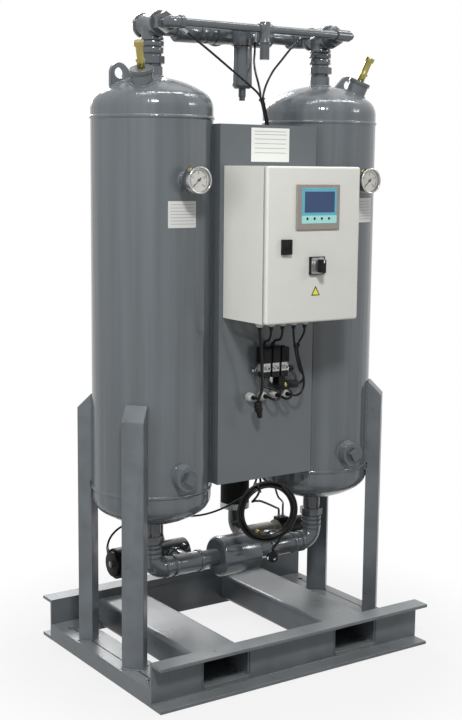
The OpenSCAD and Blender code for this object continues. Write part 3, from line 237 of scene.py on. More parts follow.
class DryerColours(bpy.types.PropertyGroup):
    """Colours of the dryer's finishes."""

    enamel: swatch("Enamel", "Grey enamel on the vessels, skid and panel", "5b6064")
    fitting: swatch("Fittings", "Grey enamel on the cast pipe fittings", "494e52")
    powder: swatch("Cabinet", "Pale powder coat on the cabinet and door", "cfcfc9")
    brass: swatch("Brass", "Turned brass of the safety valves and plugs", "9d9159")
    stainless: swatch("Stainless", "Stainless gauge cases and fittings", "a9abab")
    aluminium: swatch("Aluminium", "Cast aluminium of the valve bodies", "8f8c85")
    zinc: swatch("Zinc", "Zinc plate on the mounting plate and collars", "a9adad")
    nylon: swatch("Nylon", "Black moulded nylon of coils, knobs and silencers", "131314")
    sheath: swatch("Cable sheath", "Black sheath of cables and air tubes", "111112")
    gland: swatch("Gland", "Pale grey nylon of the cable glands", "a9aba6")
    dial: swatch("Dial", "Printed card of the gauge dials", "d9d5ca")
    bezel: swatch("Panel bezel", "Taupe frame of the operator panel", "8a837c")
    teal: swatch("Panel film", "Teal film round the screen", "5aa5b8")
    screen: swatch("Screen", "Blue display window", "2d4468")
    keys: swatch("Key strip", "Pale aqua strip behind the keys", "9fd4cf")
    plate: swatch("Plates", "White film of the blank plates", "dcddda")
    warning: swatch("Warning", "Yellow of the blank triangle", "e3dc3c")
    floor: swatch("Floor", "Pale floor", "a8a8a6")


class DryerSizes(bpy.types.PropertyGroup):
    """Sizes of the cords and of the small parts that the scene adds."""

    tube: length("Air tube", "Outside diameter of the air tubes", 0.006)
    lead: length("Control lead", "Diameter of the control leads", 0.0065)
    thin_lead: length("Sensor lead", "Diameter of the sensor lead", 0.0065)
    mains: length("Mains lead", "Diameter of the mains lead", 0.008)
    coil: length("Coil radius", "Radius at the middle of the mains coil's turns", 0.078)
    strand: length("Strand ring", "Radius on which the coil's five strands lie", 0.0069)
    turns: bpy.props.FloatProperty(
        name="Coil turns", description="Turns in the hanging mains coil", min=1, max=9, default=4.25)
    bead: length("Weld bead", "Half width of the weld beads", 0.0032)
    eased: length("Eased edge", "Rounding of pressed and folded edges", 0.0012)


def colours():
    """The colours set in the scene."""
    return bpy.context.scene.dryer_colours


def sizes():
    """The sizes set in the scene."""
    return bpy.context.scene.dryer_sizes


def metres(point):
    """A point of the skid's frame in millimetres, moved to the shared frame in metres."""
    return Vector((point[0], point[1] + SKID_BACK, point[2])) * MM


def per_mm(size):
    """Texture scale whose features are about size millimetres across."""
    return 1 / (size * MM)


def fill(tree, node, inputs):
    """Set or link a node's inputs."""
    for socket, value in inputs.items():
        if isinstance(value, bpy.types.NodeSocket):
            tree.links.new(value, node.inputs[socket])
        elif node.inputs[socket].type == "RGBA":
            node.inputs[socket].default_value = (*value[:3], 1)
        else:
            node.inputs[socket].default_value = value


def add(tree, kind, inputs=None, **settings):
    """Add one node with its settings and inputs."""
    node = tree.nodes.new("ShaderNode" + kind)
    for option, value in settings.items():
        setattr(node, option, value)
    fill(tree, node, inputs or {})
    return node


def noise(tree, place, size, detail):
    """Noise whose features are about size millimetres across."""
    return add(tree, "TexNoise", {"Vector": place, "Scale": per_mm(size), "Detail": detail}).outputs[0]


def ranged(tree, value, low, high, start=0, end=1, **settings):
    """Value carried from the span of start and end to that of low and high."""
    return add(tree, "MapRange", {
        "Value": value, "From Min": start, "From Max": end, "To Min": low, "To Max": high},
        **settings).outputs[0]


def bumped(tree, height, strength, depth, **settings):
    """Normal of a surface that rises by depth millimetres with height."""
    return add(tree, "Bump", {
        "Height": height, "Strength": strength, "Distance": depth * MM}, **settings).outputs[0]


def surface(name):
    """A material with only its shader, and the coordinates that its patterns use."""
    made = bpy.data.materials.new(name)
    made.use_nodes = True
    tree = made.node_tree
    tree.nodes.clear()
    shader = add(tree, "BsdfPrincipled")
    add(tree, "OutputMaterial", {"Surface": shader.outputs[0]})
    return made, tree, shader, add(tree, "TexCoord").outputs["Object"]


def shade(colour, times):
    return tuple(min(1, c * times) for c in colour[:3])


def two_tone(tree, factor, low, high):
    """Colour that runs from low to high with factor."""
    return add(tree, "Mix", {0: factor, 6: low, 7: high}, data_type="RGBA").outputs[2]


def enamel(name, colour, patch, peel, depth, low, high, drawn=1, drift=0.06, shine=0.45):
    """Enamel over steel: slow shifts of tone, and a ripple in its gloss; drawn out upright, the shifts of
    tone are painted reflection streaks.
    """
    made, tree, shader, place = surface(name)
    upright = add(tree, "Mapping", {"Vector": place, "Scale": (1, 1, 1 / drawn)}).outputs[0]
    slow = noise(tree, upright, patch, 4)
    tone = ranged(tree, slow, 0, 1, *NOISE_SPAN)
    # Stretched upright by drawn, these shifts of tone are painted reflection streaks.
    coat = two_tone(tree, tone, shade(colour, 1 - drift), shade(colour, 1 + drift))
    # Settled dust, and a painted sheen of light from above, lighten what faces up.
    normal = add(tree, "NewGeometry").outputs["Normal"]
    up_dust_and_sheen = add(tree, "SeparateXYZ", {0: normal}).outputs[2]
    fill(tree, shader, {
        "Base Color": two_tone(tree, ranged(tree, up_dust_and_sheen, 0, 0.22, 0.75, 1), coat, linear("b4b6b4")),
        "Roughness": ranged(tree, slow, low, high, *NOISE_SPAN),
        "Normal": bumped(tree, noise(tree, upright, peel, 2), 0.35, depth),
        "IOR": COAT_IOR, "Specular IOR Level": shine})
    return made


def grained(name, colour, grain, depth, low, high, spread=0.12, shine=0.4):
    """Moulded plastic, film or powder coat: a fine even grain over one tone that drifts a little."""
    made, tree, shader, place = surface(name)
    fine = noise(tree, place, grain, 3)
    slow = noise(tree, place, 40 * grain, 2)
    fill(tree, shader, {
        "Base Color": two_tone(tree, slow, shade(colour, 1 - spread), shade(colour, 1 + spread)),
        "Roughness": ranged(tree, fine, low, high), "Normal": bumped(tree, fine, 0.3, depth),
        "IOR": COAT_IOR, "Specular IOR Level": shine})
    return made


def worked_metal(name, colour, mark, low, high):
    """Bare metal with tool marks: mark gives their size along each axis in millimetres."""
    made, tree, shader, place = surface(name)
    drawn = add(tree, "Mapping", {"Vector": place, "Scale": tuple(per_mm(m) for m in mark)}).outputs[0]
    marks = add(tree, "TexNoise", {"Vector": drawn, "Scale": 1, "Detail": 4}).outputs[0]
    fill(tree, shader, {
        "Base Color": two_tone(tree, noise(tree, place, 18, 2), shade(colour, 0.8), shade(colour, 1.12)),
        "Roughness": ranged(tree, marks, low, high),
        "Normal": bumped(tree, marks, 0.2, 0.1), "Metallic": 1})
    return made


def beads(name, colour, size):
    """Packed beads or sintered grains: rounded cells, with painted shade in the gaps between them and
    lighter painted middles.
    """
    made, tree, shader, place = surface(name)
    cells = add(tree, "TexVoronoi", {"Vector": place, "Scale": per_mm(size)}).outputs["Distance"]
    # Painted shade darkens each cell towards its edges, and a painted highlight lightens its middle.
    fill(tree, shader, {
        "Base Color": two_tone(tree, cells, shade(colour, 1.1), shade(colour, 0.6)),
        "Normal": bumped(tree, cells, 0.8, 0.3 * size, invert=True),
        "Roughness": 0.75, "Specular IOR Level": 0.2})
    return made


def clear_glass(name):
    """Flat gauge glass: clear, with the faint waver of a pressed disc."""
    made, tree, shader, place = surface(name)
    fill(tree, shader, {
        "Base Color": (0.97, 0.98, 0.98), "Roughness": 0.02, "IOR": 1.5, "Transmission Weight": 1,
        "Normal": bumped(tree, noise(tree, place, 12, 1), 0.05, 0.1)})
    return made


def material(kind):
    """The finish called kind, made the first time that it is asked for."""
    found = bpy.data.materials.get(kind)
    if found:
        return found
    c = colours()
    makers = {
        # Satin enamel sprayed on sheet and heads: an even sheen with a low ripple.
        "satin enamel on steel": lambda n: enamel(n, c.enamel, 160, 7, 0.3, 0.14, 0.22),
        # The same enamel on the rolled shells: its ripple shows as upright streaks in the bump, and
        # upright streaks of painted reflection run through its tone.
        "satin enamel on rolled shell": lambda n: enamel(
            n, c.enamel, 26, 18, 5, 0.1, 0.22, drawn=40, drift=0.12),
        # The same enamel on the skid, duller from handling.
        "satin enamel on skid steel": lambda n: enamel(n, c.enamel, 70, 4, 0.25, 0.26, 0.42, drift=0.16),
        # Enamel over sand-cast fittings: the casting's grain shows through the coat.
        IRON: lambda n: enamel(n, c.fitting, 35, 4, 0.5, 0.1, 0.2, drift=0.1, shine=0.65),
        # Powder coat: a fine pebbled skin, drawn at 1.2 mm so that it shows.
        "pale powder coat": lambda n: grained(n, c.powder, 1.2, 0.12, 0.36, 0.5, spread=0.03),
        # Turned brass: fine rings and a warm bright sheen.
        "turned brass": lambda n: worked_metal(n, c.brass, (9, 9, 0.6), 0.2, 0.38),
        # Drawn stainless: a bright case with a fine grain along it.
        "brushed stainless": lambda n: worked_metal(n, c.stainless, (14, 0.5, 14), 0.16, 0.32),
        # Polished stainless of the gauge bezels: mirror bright with a faint lathe mark.
        "polished stainless": lambda n: worked_metal(n, linear("b4b5b4"), (6, 0.5, 6), 0.08, 0.2),
        # Satin silver plate behind the switch: fine brushing across it.
        "satin silver plate": lambda n: worked_metal(n, linear("a3a4a4"), (20, 20, 0.4), 0.3, 0.45),
        # Die-cast aluminium: a soft grey-beige shine with a granular skin.
        "cast aluminium": lambda n: worked_metal(n, c.aluminium, (1.6, 1.6, 1.6), 0.35, 0.6),
        # Zinc plate: pale, with soft cloudy patches.
        "zinc plate": lambda n: worked_metal(n, c.zinc, (6, 6, 6), 0.3, 0.5),
        # Glass-filled nylon: near black, with a fine moulded grain.
        NYLON: lambda n: grained(n, c.nylon, 1, 0.12, 0.34, 0.5, shine=0.16),
        # Sheath of cables and tubes: smooth, with broad soft highlights.
        "black sheath": lambda n: grained(n, c.sheath, 2, 0.06, 0.24, 0.36, shine=0.2),
        # Pale nylon of cable glands.
        "pale gland nylon": lambda n: grained(n, c.gland, 1, 0.1, 0.35, 0.5),
        # Sintered plastic of the silencers: dark open grains.
        "sintered black plastic": lambda n: beads(n, c.nylon, 2.4),
        # Beads of drying agent: off-white grains.
        "desiccant beads": lambda n: beads(n, linear("e9e4d8"), 4),
        # Pleated filter media: pale fibres.
        "filter media": lambda n: grained(n, linear("d8d8d2"), 1.5, 0.4, 0.7, 0.9),
        # Printed card: matt, faintly fibrous.
        "dial card": lambda n: grained(n, c.dial, 0.8, 0.02, 0.5, 0.62, spread=0.04),
        # Dial print: matt black ink.
        "dial ink": lambda n: grained(n, linear("1a1a1a"), 0.8, 0.02, 0.5, 0.6),
        # Moulded taupe frame of the operator panel.
        "taupe panel moulding": lambda n: grained(n, c.bezel, 0.9, 0.08, 0.4, 0.52),
        # Printed polycarbonate film: smooth, with a low gloss.
        "teal panel film": lambda n: grained(n, c.teal, 0.9, 0.02, 0.24, 0.32, spread=0.06),
        # Tinted window over the display: dark and glossy.
        "screen window": lambda n: grained(n, c.screen, 3, 0.01, 0.1, 0.16, spread=0.15),
        # Pale printed film behind the keys.
        "aqua key strip": lambda n: grained(n, c.keys, 0.9, 0.02, 0.26, 0.34, spread=0.05),
        # White film of blank plates: satin, faintly uneven.
        "white plate film": lambda n: grained(n, c.plate, 1.5, 0.03, 0.3, 0.42, spread=0.03),
        # Silvered film of the vessels' plates.
        "silvered plate film": lambda n: grained(n, linear("c6c7c5"), 1.5, 0.03, 0.28, 0.4, spread=0.04),
        # Grey print of the plates' ruled lines.
        "grey plate rule": lambda n: grained(n, linear("6c6e6c"), 1.5, 0.03, 0.4, 0.5, spread=0.05),
        # Yellow film of the bare triangle: satin, one plain tone.
        "yellow film": lambda n: grained(n, c.warning, 1.5, 0.03, 0.3, 0.42, spread=0.04),
        # Glass over the dials: clear, with a faint waver.
        "gauge glass": clear_glass,
    }
    return makers[kind](kind)


def dress(node, *kinds, pick=None, ease=0.0):
    """Give a CAD node its finishes; pick chooses one by a face's middle, and ease rounds its edges."""
    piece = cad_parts[node]
    piece.data.materials.clear()
    for kind in kinds:
        piece.data.materials.append(material(kind))
    if pick:
        for face in piece.data.polygons:
            face.material_index = pick(face.center / MM)
    if ease:
        piece.modifiers.new("Joined faces", "WELD").merge_threshold = SEAM
        rounding = piece.modifiers.new("Eased edges", "BEVEL")
        rounding.width = ease
        rounding.segments = 2
        rounding.limit_method = "ANGLE"
        rounding.angle_limit = math.radians(SHARP)
        rounding.harden_normals = True
    return piece


def linked(name, data):
    """A new object in the scene."""
    made = bpy.data.objects.new(name, data)
    bpy.context.scene.collection.objects.link(made)
    return made


def mesh_piece(name, build, *kinds, body=ROOT, smooth=0):
    """A new piece from the mesh that build() fills in, riding on body: edges sharper than smooth stay."""
    data = bpy.data.meshes.new(name)
    mesh = bmesh.new()
    build(mesh)
    bmesh.ops.recalc_face_normals(mesh, faces=mesh.faces)
    mesh.to_mesh(data)
    mesh.free()
    for kind in kinds:
        data.materials.append(material(kind))
    if smooth:
        for face in data.polygons:
            face.use_smooth = True
        data.set_sharp_from_angle(angle=math.radians(smooth))
    piece = linked(name, data)
    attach(piece, body)
    return piece


def outline(width, height, corner):
    """Points of a rectangle with rounded corners about the origin, anticlockwise."""
    points = []
    for k, (sx, sy) in enumerate(((1, 1), (-1, 1), (-1, -1), (1, -1))):
        for i in range(7):
            turn = math.pi / 2 * (k + i / 6)
            points.append((
                sx * (width / 2 - corner) + corner * math.cos(turn),
                sy * (height / 2 - corner) + corner * math.sin(turn)))
    return points


def loft(mesh, rings, index=0, caps=True):
    """Skin rings of points, each a list of vectors of one length."""
    rows = [[mesh.verts.new(p) for p in points] for points in rings]
    count = len(rows[0])
    for low, high in zip(rows, rows[1:]):
        for i in range(count):
            n = (i + 1) % count
            mesh.faces.new((low[i], low[n], high[n], high[i])).material_index = index
    if caps:
        mesh.faces.new(rows[0][::-1]).material_index = index
        mesh.faces.new(rows[-1]).material_index = index


def joined(mesh, rings):
    """Skin rings whose last lies on the first, and make those two one."""
    loft(mesh, rings, caps=False)
    bmesh.ops.remove_doubles(mesh, verts=mesh.verts, dist=1e-7)


def spoke(side, up, turn):
    """Direction at an angle from side towards up."""
    return side * math.cos(turn) + up * math.sin(turn)


def axes(along):
    """The heading along, and two more square to it, each of length one."""
    along = Vector(along).normalized()
    side = along.orthogonal().normalized()
    return along, side, along.cross(side)


def circle(middle, side, up, radius, count):
    """Points of a circle in the plane of side and up."""
    return [middle + spoke(side, up, 2 * math.pi * i / count) * radius for i in range(count)]


def front_plate(mesh, middle, size, thick, corner, index=0, edge=0.4):
    """A plate that faces the front, with its back on middle: sizes in millimetres."""
    x, y, z = middle
    rings = []
    for rise, inset in ((0, 0), (thick - edge, 0), (thick, edge)):
        shape = outline(size[0] - 2 * inset, size[1] - 2 * inset, max(0.1, corner - inset))
        rings.append([Vector((x + a, y - rise, z + b)) * MM for a, b in shape])
    loft(mesh, rings, index)


def turned(mesh, start, along, steps, sides=32, index=0, caps=True):
    """A turned shape: steps are (distance along the axis, radius), in millimetres."""
    along, side, up = axes(along)
    rings = [[q * MM for q in circle(Vector(start) + along * far, side, up, radius, sides)]
             for far, radius in steps]
    loft(mesh, rings, index, caps)


def wrapped(mesh, side, angle, z, size, rise, index=0):
    """A plate bent round a vessel at angle degrees: rise is how far it stands off, in millimetres."""
    middle = Vector((side * VESSEL_X, SKID_BACK, z))
    spread = size[0] / VESSEL_R
    columns = []
    for i in range(13):
        out = spoke(RIGHT, -FRONT, math.radians(angle) + spread * (i / 12 - 0.5))
        columns.append([(middle + out * (VESSEL_R + r) + UP * h) * MM for r, h in (
            (0.1, -size[1] / 2), (rise, -size[1] / 2), (rise, size[1] / 2), (0.1, size[1] / 2))])
    loft(mesh, columns, index)


def ring(middle, along, radius):
    """Points of a circle round the axis along, in millimetres."""
    return circle(Vector(middle), *axes(along)[1:], radius, 64)


def weld(mesh, points, half, closed=False):
    """A weld bead along points in millimetres, with the ripples that its passes leave."""
    ripple = [half * MM * (1 + 0.14 * math.sin(1.9 * i) + 0.06 * math.sin(0.7 * i))
              for i in range(len(points))]
    sweep(mesh, [q * MM for q in points], ripple, 8, closed)


def sweep(mesh, points, radii, sides, closed=False):
    """A round bar along points in metres, with a radius for each."""
    count = len(points)
    rings = []
    side = None
    for i, (p, radius) in enumerate(zip(points, radii)):
        before = points[(i - 1) % count] if closed or i else p
        after = points[(i + 1) % count] if closed or i < count - 1 else p
        heading = (after - before).normalized()
        side = side or heading.orthogonal()
        side = (side - heading * side.dot(heading)).normalized()
        rings.append(circle(p, side, heading.cross(side), radius, sides))
    if closed:
        joined(mesh, rings + rings[:1])
    else:
        loft(mesh, rings)


def between(points, per):
    """Points of the smooth curve through points, per of them to each stretch."""
    last = len(points) - 1
    line = []
    for i in range(last):
        a, b, c, d = points[max(i - 1, 0)], points[i], points[i + 1], points[min(i + 2, last)]
        for t in (j / per for j in range(per)):
            line.append(0.5 * (2 * b + (c - a) * t + (2 * a - 5 * b + 4 * c - d) * t ** 2
                               + (3 * b - a - 3 * c + d) * t ** 3))
    return line + [points[last]]


def cord_curve(name, points, diameter):
    """A round cord along points in metres, as a curve of one open spline."""
    stretches = len(points) - 1
    if stretches < FEWEST_POINTS - 1:
        points = between(points, math.ceil((FEWEST_POINTS - 1) / stretches))
    curve = bpy.data.curves.new(name, "CURVE")
    curve.dimensions = "3D"
    curve.resolution_u = 6
    curve.bevel_depth = diameter / 2
    curve.bevel_resolution = 4
    curve.use_fill_caps = True
    spline = curve.splines.new("BEZIER")
    last = len(points) - 1
    spline.bezier_points.add(last)
    for i, knot in enumerate(spline.bezier_points):
        reach = (points[min(i + 1, last)] - points[max(i - 1, 0)]) / 6
        knot.handle_left_type = knot.handle_right_type = "FREE"
        knot.co = points[i]
        knot.handle_left = points[i] - reach
        knot.handle_right = points[i] + reach
    curve.materials.append(material("black sheath"))
    piece = linked(name, curve)
    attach(piece, ROOT)
    return piece


def route(name):
    """A cord's points in metres."""
    return [metres(p) for p in ROUTES[name]]


def strap(name, middle, along, radius, tail):
    """A cable tie: a flat band round a bundle, its ratchet head and its cut tail, in millimetres."""
    along, side, up = axes(along)
    half, thick = 1.8, 1.2

    def box(at, across, wide, deep):
        """Corners of a rectangle about at."""
        return [(at + across * wide * a + along * deep * b) * MM
                for a, b in ((-1, -1), (1, -1), (1, 1), (-1, 1))]

    def build(mesh):
        outs = circle(Vector(), side, up, 1, 24)
        joined(mesh, [
            box(middle + out * (radius + thick / 2), out, thick / 2, half) for out in outs + outs[:1]])
        head = middle + side * (radius + thick)
        loft(mesh, [box(head + side * rise, up, wide, wide) for rise, wide in (
            (-0.6, 2.6), (2.6, 2.6), (3.4, 2))])
        loft(mesh, [box(head + side * (3.2 + far) + up * 0.02 * far ** 2, up, 0.6, half) for far in (
            tail * i / 4 for i in range(5))])

    return mesh_piece(name, build, NYLON)


def set_camera(scene):
    """Camera that stands and turns as the photograph's did."""
    yaw, pitch, roll = (math.radians(a) for a in CAMERA_TURN)
    ahead = spoke(spoke(-FRONT, -RIGHT, yaw), UP, pitch)
    right = spoke(RIGHT, -FRONT, yaw)
    up = right.cross(ahead)
    lens = bpy.data.cameras.new("camera")
    lens.lens = CAMERA_LENS
    lens.sensor_width = CAMERA_SENSOR
    scene.camera = linked("camera", lens)
    turned_by = Matrix((spoke(right, up, roll), spoke(up, -right, roll), -ahead)).transposed()
    scene.camera.matrix_world = Matrix.Translation(CAMERA_AT) @ turned_by.to_4x4()


def lay_floor():
    """Floor that holds the dryer's shadow and fades to white."""
    data = bpy.data.meshes.new("floor")
    data.from_pydata([
        (FLOOR_HALF * a, FLOOR_HALF * b, 0) for a, b in ((-1, -1), (1, -1), (1, 1), (-1, 1))],
        [], [range(4)])
    floor = linked("floor", data)
    made, tree, shader, place = surface("pale studio floor")
    fill(tree, shader, {"Base Color": colours().floor, "Roughness": 0.9})
    # The floor turns to plain white a little way from the dryer, and keeps its shadow near it.
    far = add(tree, "VectorMath", {0: place}, operation="LENGTH").outputs["Value"]
    fade = ranged(tree, far, 0.82, 1, 0.5, 1, interpolation_type="SMOOTHSTEP")
    white = add(tree, "Emission", {"Color": (1, 1, 1), "Strength": 1})
    share = add(tree, "Math", {0: fade, 1: seen(tree)}, operation="MULTIPLY")
    mixed = add(tree, "MixShader", {0: share.outputs[0], 1: shader.outputs[0], 2: white.outputs[0]})
    fill(tree, tree.nodes["Material Output"], {"Surface": mixed.outputs[0]})
    data.materials.append(made)


def seen(tree):
    """1 for rays from the camera, and for those that mirrors and glass pass on."""
    path = add(tree, "LightPath").outputs
    either = add(tree, "Math", {
        0: path["Is Camera Ray"], 1: path["Is Glossy Ray"]}, operation="MAXIMUM")
    return add(tree, "Math", {
        0: either.outputs[0], 1: path["Is Transmission Ray"]}, operation="MAXIMUM").outputs[0]


class DRYER_OT_stage(bpy.types.Operator):
    """Camera at the photograph's angle, pale floor and soft plain light"""

    bl_idname = "dryer.stage"
    bl_label = "Stage"

    def execute(self, context):
        scene = context.scene
        scene.view_settings.view_transform = "Standard"
        set_camera(scene)
        lay_floor()
        world = bpy.data.worlds.new("studio")
        world.use_nodes = True
        scene.world = world
        tree = world.node_tree
        tree.nodes.clear()
        # White to the eye and in mirrors, and elsewhere only a weak fill light.
        level = ranged(tree, seen(tree), 0.12, 1)
        sky = add(tree, "Background", {"Color": (1, 1, 1), "Strength": level})
        add(tree, "OutputWorld", {"Surface": sky.outputs[0]})
        for name, at, aim, size, power in LIGHTS:
            lamp = bpy.data.lights.new(name, "AREA")
            lamp.shape = "RECTANGLE"
            lamp.size, lamp.size_y = size
            lamp.energy = power
            piece = linked(name, lamp)
            piece.location = at
            piece.rotation_euler = (Vector(aim) - Vector(at)).to_track_quat("-Z", "Y").to_euler()
            # The broad left light fills, and leaves no mirror image on the vessels.
            piece.visible_glossy = name != "left light"
        return {"FINISHED"}


class DRYER_OT_air_tubes(bpy.types.Operator):
    """Air tubes from the top pipework and the purge valves to the pilot valves"""

    bl_idname = "dryer.air_tubes"
    bl_label = "Air Tubes"

    def execute(self, context):
        thick = sizes().tube
        for name in ("left_pilot_tube", "centre_pilot_tube", "right_pilot_tube",
                     "left_actuator_tube", "right_actuator_tube"):
            points = route(name)
            piece = cord_curve("air_" + name, points, thick)
            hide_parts(name)
        return {"FINISHED"}


def connector(mesh):
    """Hanging connector with its ribs, and the stub of lead that enters the panel's gland."""
    stub = between(route("connector_stub"), 4)
    sweep(mesh, stub, [sizes().lead / 2] * len(stub), 12)
    wide = (8, 10.5, 11.6, 11.6, 10, 11.6, 11.6, 10, 11.4, 11.4, 10.6, 8.6, 8.6,
            7.4, 7.4, 7.4, 7.4, 6.6, 5.4)
    sweep(mesh, between(route("connector_body"), 6), [w * MM for w in wide], 16)


class DRYER_OT_control_leads(bpy.types.Operator):
    """Control leads between the cabinet's glands, the coils and the panel's glands"""

    bl_idname = "dryer.control_leads"
    bl_label = "Control Leads"

    def execute(self, context):
        size = sizes()
        plug = mesh_piece("sensor_connector", connector, NYLON, smooth=35)
        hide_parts("control_leads")
        for name in ("first_coil_lead", "second_coil_lead", "switch_lead", "supply_lead",
                     "left_pilot_lead", "right_pilot_lead", "sensor_lead", "connector_lead"):
            thick = {"sensor_lead": size.thin_lead, "connector_lead": size.mains}.get(name, size.lead)
            points = route(name)
            piece = cord_curve(name, points, thick)
            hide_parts("control_leads")
        return {"FINISHED"}


def coil_across():
    """Level direction across the mains coil, which hangs turned a little to the left."""
    return spoke(RIGHT, -FRONT, math.radians(-18))


class DRYER_OT_mains_lead(bpy.types.Operator):
    """Mains lead that hangs in a coil below the panel, and its plug"""

    bl_idname = "dryer.mains_lead"
    bl_label = "Mains Lead"

    def execute(self, context):
        size = sizes()
        middle = metres(COIL_MIDDLE)
        across = coil_across()
        face = across.cross(UP)
        steps = round(16 * size.turns)
        coil = []
        for i in range(steps + 1):
            turn = size.turns * i / steps
            angle = math.radians(45) - 2 * math.pi * turn
            # The strands lie in a ring of five and change places once in five turns.
            twist = 2 * math.pi * turn / 5 + math.radians(100)
            out = spoke(across, UP, angle)
            coil.append(middle + out * (size.coil + size.strand * math.cos(twist))
                        + face * size.strand * math.sin(twist))
        points = route("mains_lead") + coil + route("mains_tail")
        piece = cord_curve("mains_lead", points, size.mains)
        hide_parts("power_cable", "power_coil")
        plug = dress("power_plug", NYLON, "brushed stainless", ease=0.0006,
                     pick=lambda p: int((p - PLUG_MIDDLE).dot(PLUG_PINS) > 12.5))
        return {"FINISHED"}


class DRYER_OT_ties(bpy.types.Operator):
    """Cable ties round the air tubes, the leads and the mains coil"""

    bl_idname = "dryer.ties"
    bl_label = "Cable Ties"

    def execute(self, context):
        strap("tube_tie", Vector((-10.5, -101.5, 1546)), (6, 0, -19), 7.4, 12)
        strap("lead_tie", Vector((38, -210, 894)), (0.2, 0.25, -1), 8.2, 5)
        across = coil_across()
        for name, degrees in (("upper_coil_tie", 112), ("lower_coil_tie", 322)):
            turn = math.radians(degrees)
            out = spoke(across, UP, turn)
            middle = (metres(COIL_MIDDLE) + out * sizes().coil) / MM
            strap(name, middle, spoke(UP, -across, turn), 11.4, 4)
        return {"FINISHED"}


class DRYER_OT_skid(bpy.types.Operator):
    """Welded skid with its fork pockets and the posts that carry the vessels"""

    bl_idname = "dryer.skid"
    bl_label = "Skid"

    def execute(self, context):
        for node in ("front_channel", "rear_channel", "left_side_channel", "right_side_channel"):
            dress(node, "satin enamel on skid steel", ease=sizes().eased)
        for node in ("left_fork_tube", "right_fork_tube", "posts"):
            dress(node, "satin enamel on skid steel", ease=2 * sizes().eased)
        return {"FINISHED"}


class DRYER_OT_vessels(bpy.types.Operator):
    """Pressure vessels with their beds, plugs and safety valves"""

    bl_idname = "dryer.vessels"
    bl_label = "Vessels"

    def execute(self, context):
        for side in ("left", "right"):
            dress(side + "_vessel", "satin enamel on rolled shell")
            dress(side + "_desiccant_bed", "desiccant beads")
        dress("bed_strainers", "brushed stainless")
        dress("vessel_plugs", IRON, ease=0.001)
        dress("safety_valves", "turned brass", ease=0.0005)
        return {"FINISHED"}


def weld_beads(mesh):
    """Beads of both sides of the dryer."""
    half = sizes().bead / MM
    for side in (-1, 1):
        axis = Vector((side * VESSEL_X, SKID_BACK, 0))
        fold = Vector((side * PANEL_FOLD[0], PANEL_FOLD[1], 0))
        weld(mesh, [fold + UP * z for z in range(516, 1478, 6)], 0.5 * half)
        # Seams of the channels' webs with their lower flanges, and round the fork pockets.
        web = SKID_BACK + side * WEB_Y
        weld(mesh, [Vector((x, web, 9)) for x in range(-448, 449, 5)], 0.55 * half)
        for pocket in POCKETS_X:
            weld(mesh, [Vector((pocket + a, web, 55 + b)) for a, b in outline(154, 84, 14)],
                 0.5 * half, True)
        # Necks at the top and the foot, and the fill boss, on the crowns of the heads.
        for height, heading, radius in (
                (CROWN_HIGH, UP, 28), (CROWN_LOW, -UP, 25),
                (CROWN_HIGH, Vector((side * FILL_BOSS[0], *FILL_BOSS[1:])), 28)):
            far = math.sqrt(CROWN_R ** 2 - radius ** 2)
            middle = axis + UP * height + heading.normalized() * far
            weld(mesh, ring(middle, heading, radius + 1), half, True)
        # Gauge boss and drain boss, saddled on the shell.
        for height, radius in ((GAUGE_Z, 18), (DRAIN_Z, 33)):
            saddle = ring(axis + UP * height, FRONT, radius + 0.5)
            for q in saddle:
                q.y -= math.sqrt(VESSEL_R ** 2 - (q.x - axis.x) ** 2)
            weld(mesh, saddle, 0.8 * half, True)
        # Both faces of the lug.
        for thick in (-5, 5):
            weld(mesh, [
                axis + Vector((side * out, thick, CROWN_HIGH + math.sqrt(CROWN_R ** 2 - out ** 2)))
                for out in range(50, 127, 4)], half)
        # Posts: up the shell, and round the foot on the side channel.
        for end in (-1, 1):
            out = Vector((side, end, 0)).normalized()
            across = Vector((-out.y, out.x, 0))
            foot = axis + UP * 47
            for edge in (-1, 1):
                up = axis + out * 159.5 + across * edge * 31
                weld(mesh, [up + UP * z for z in range(490, 752, 5)], half)
                corner = foot + across * edge * 30.5
                weld(mesh, [corner + out * d for d in range(164, 203, 4)], half)
            weld(mesh, [foot + out * 203 + across * d for d in range(-30, 31, 4)], half)


class DRYER_OT_welds(bpy.types.Operator):
    """Weld beads round the necks, bosses, lugs and posts, and down the panel's folds"""

    bl_idname = "dryer.welds"
    bl_label = "Weld Beads"

    def execute(self, context):
        mesh_piece("weld_beads", weld_beads, "satin enamel on steel", smooth=80)
        return {"FINISHED"}


class DRYER_OT_pipework(bpy.types.Operator):
    """Pipework over and under the vessels, with its tube fittings"""

    bl_idname = "dryer.pipework"
    bl_label = "Pipework"

    def execute(self, context):
        for node in ("left_top_union", "right_top_union", "left_outlet_tee", "right_outlet_tee",
                     "left_check_valve", "right_check_valve", "outlet_cross", "throttle_valve",
                     "left_bottom_leg", "right_bottom_leg", "inlet_drum", "filter_bowl"):
            dress(node, IRON, ease=0.0008)
        for node, pick in (
                ("left_purge_branch", lambda q: int(q.z < 1715.5)),
                ("right_purge_branch", lambda q: int(q.z < 1720.3 and q.x < 190)),
                ("filter_head", lambda q: int(q.x > 29.5))):
            dress(node, IRON, "brushed stainless", pick=pick)
        dress("filter_element", "filter media")
        return {"FINISHED"}


def valve_part(q):
    """Which finish a face of a purge valve has: its body, port plug, fittings or actuator."""
    out = math.hypot(q.y - ACTUATOR_Y, q.z - ACTUATOR_Z)
    if abs(q.x) < 222.1:
        plug = 120 < abs(q.x) < 140 and q.y < 94 and 276 < q.z < 294
        return 2 if plug else 1
    fitting = q.z > 311.5 if q.x > 0 else out > 43.6
    return 3 if fitting or abs(q.x) > 350.2 else 0


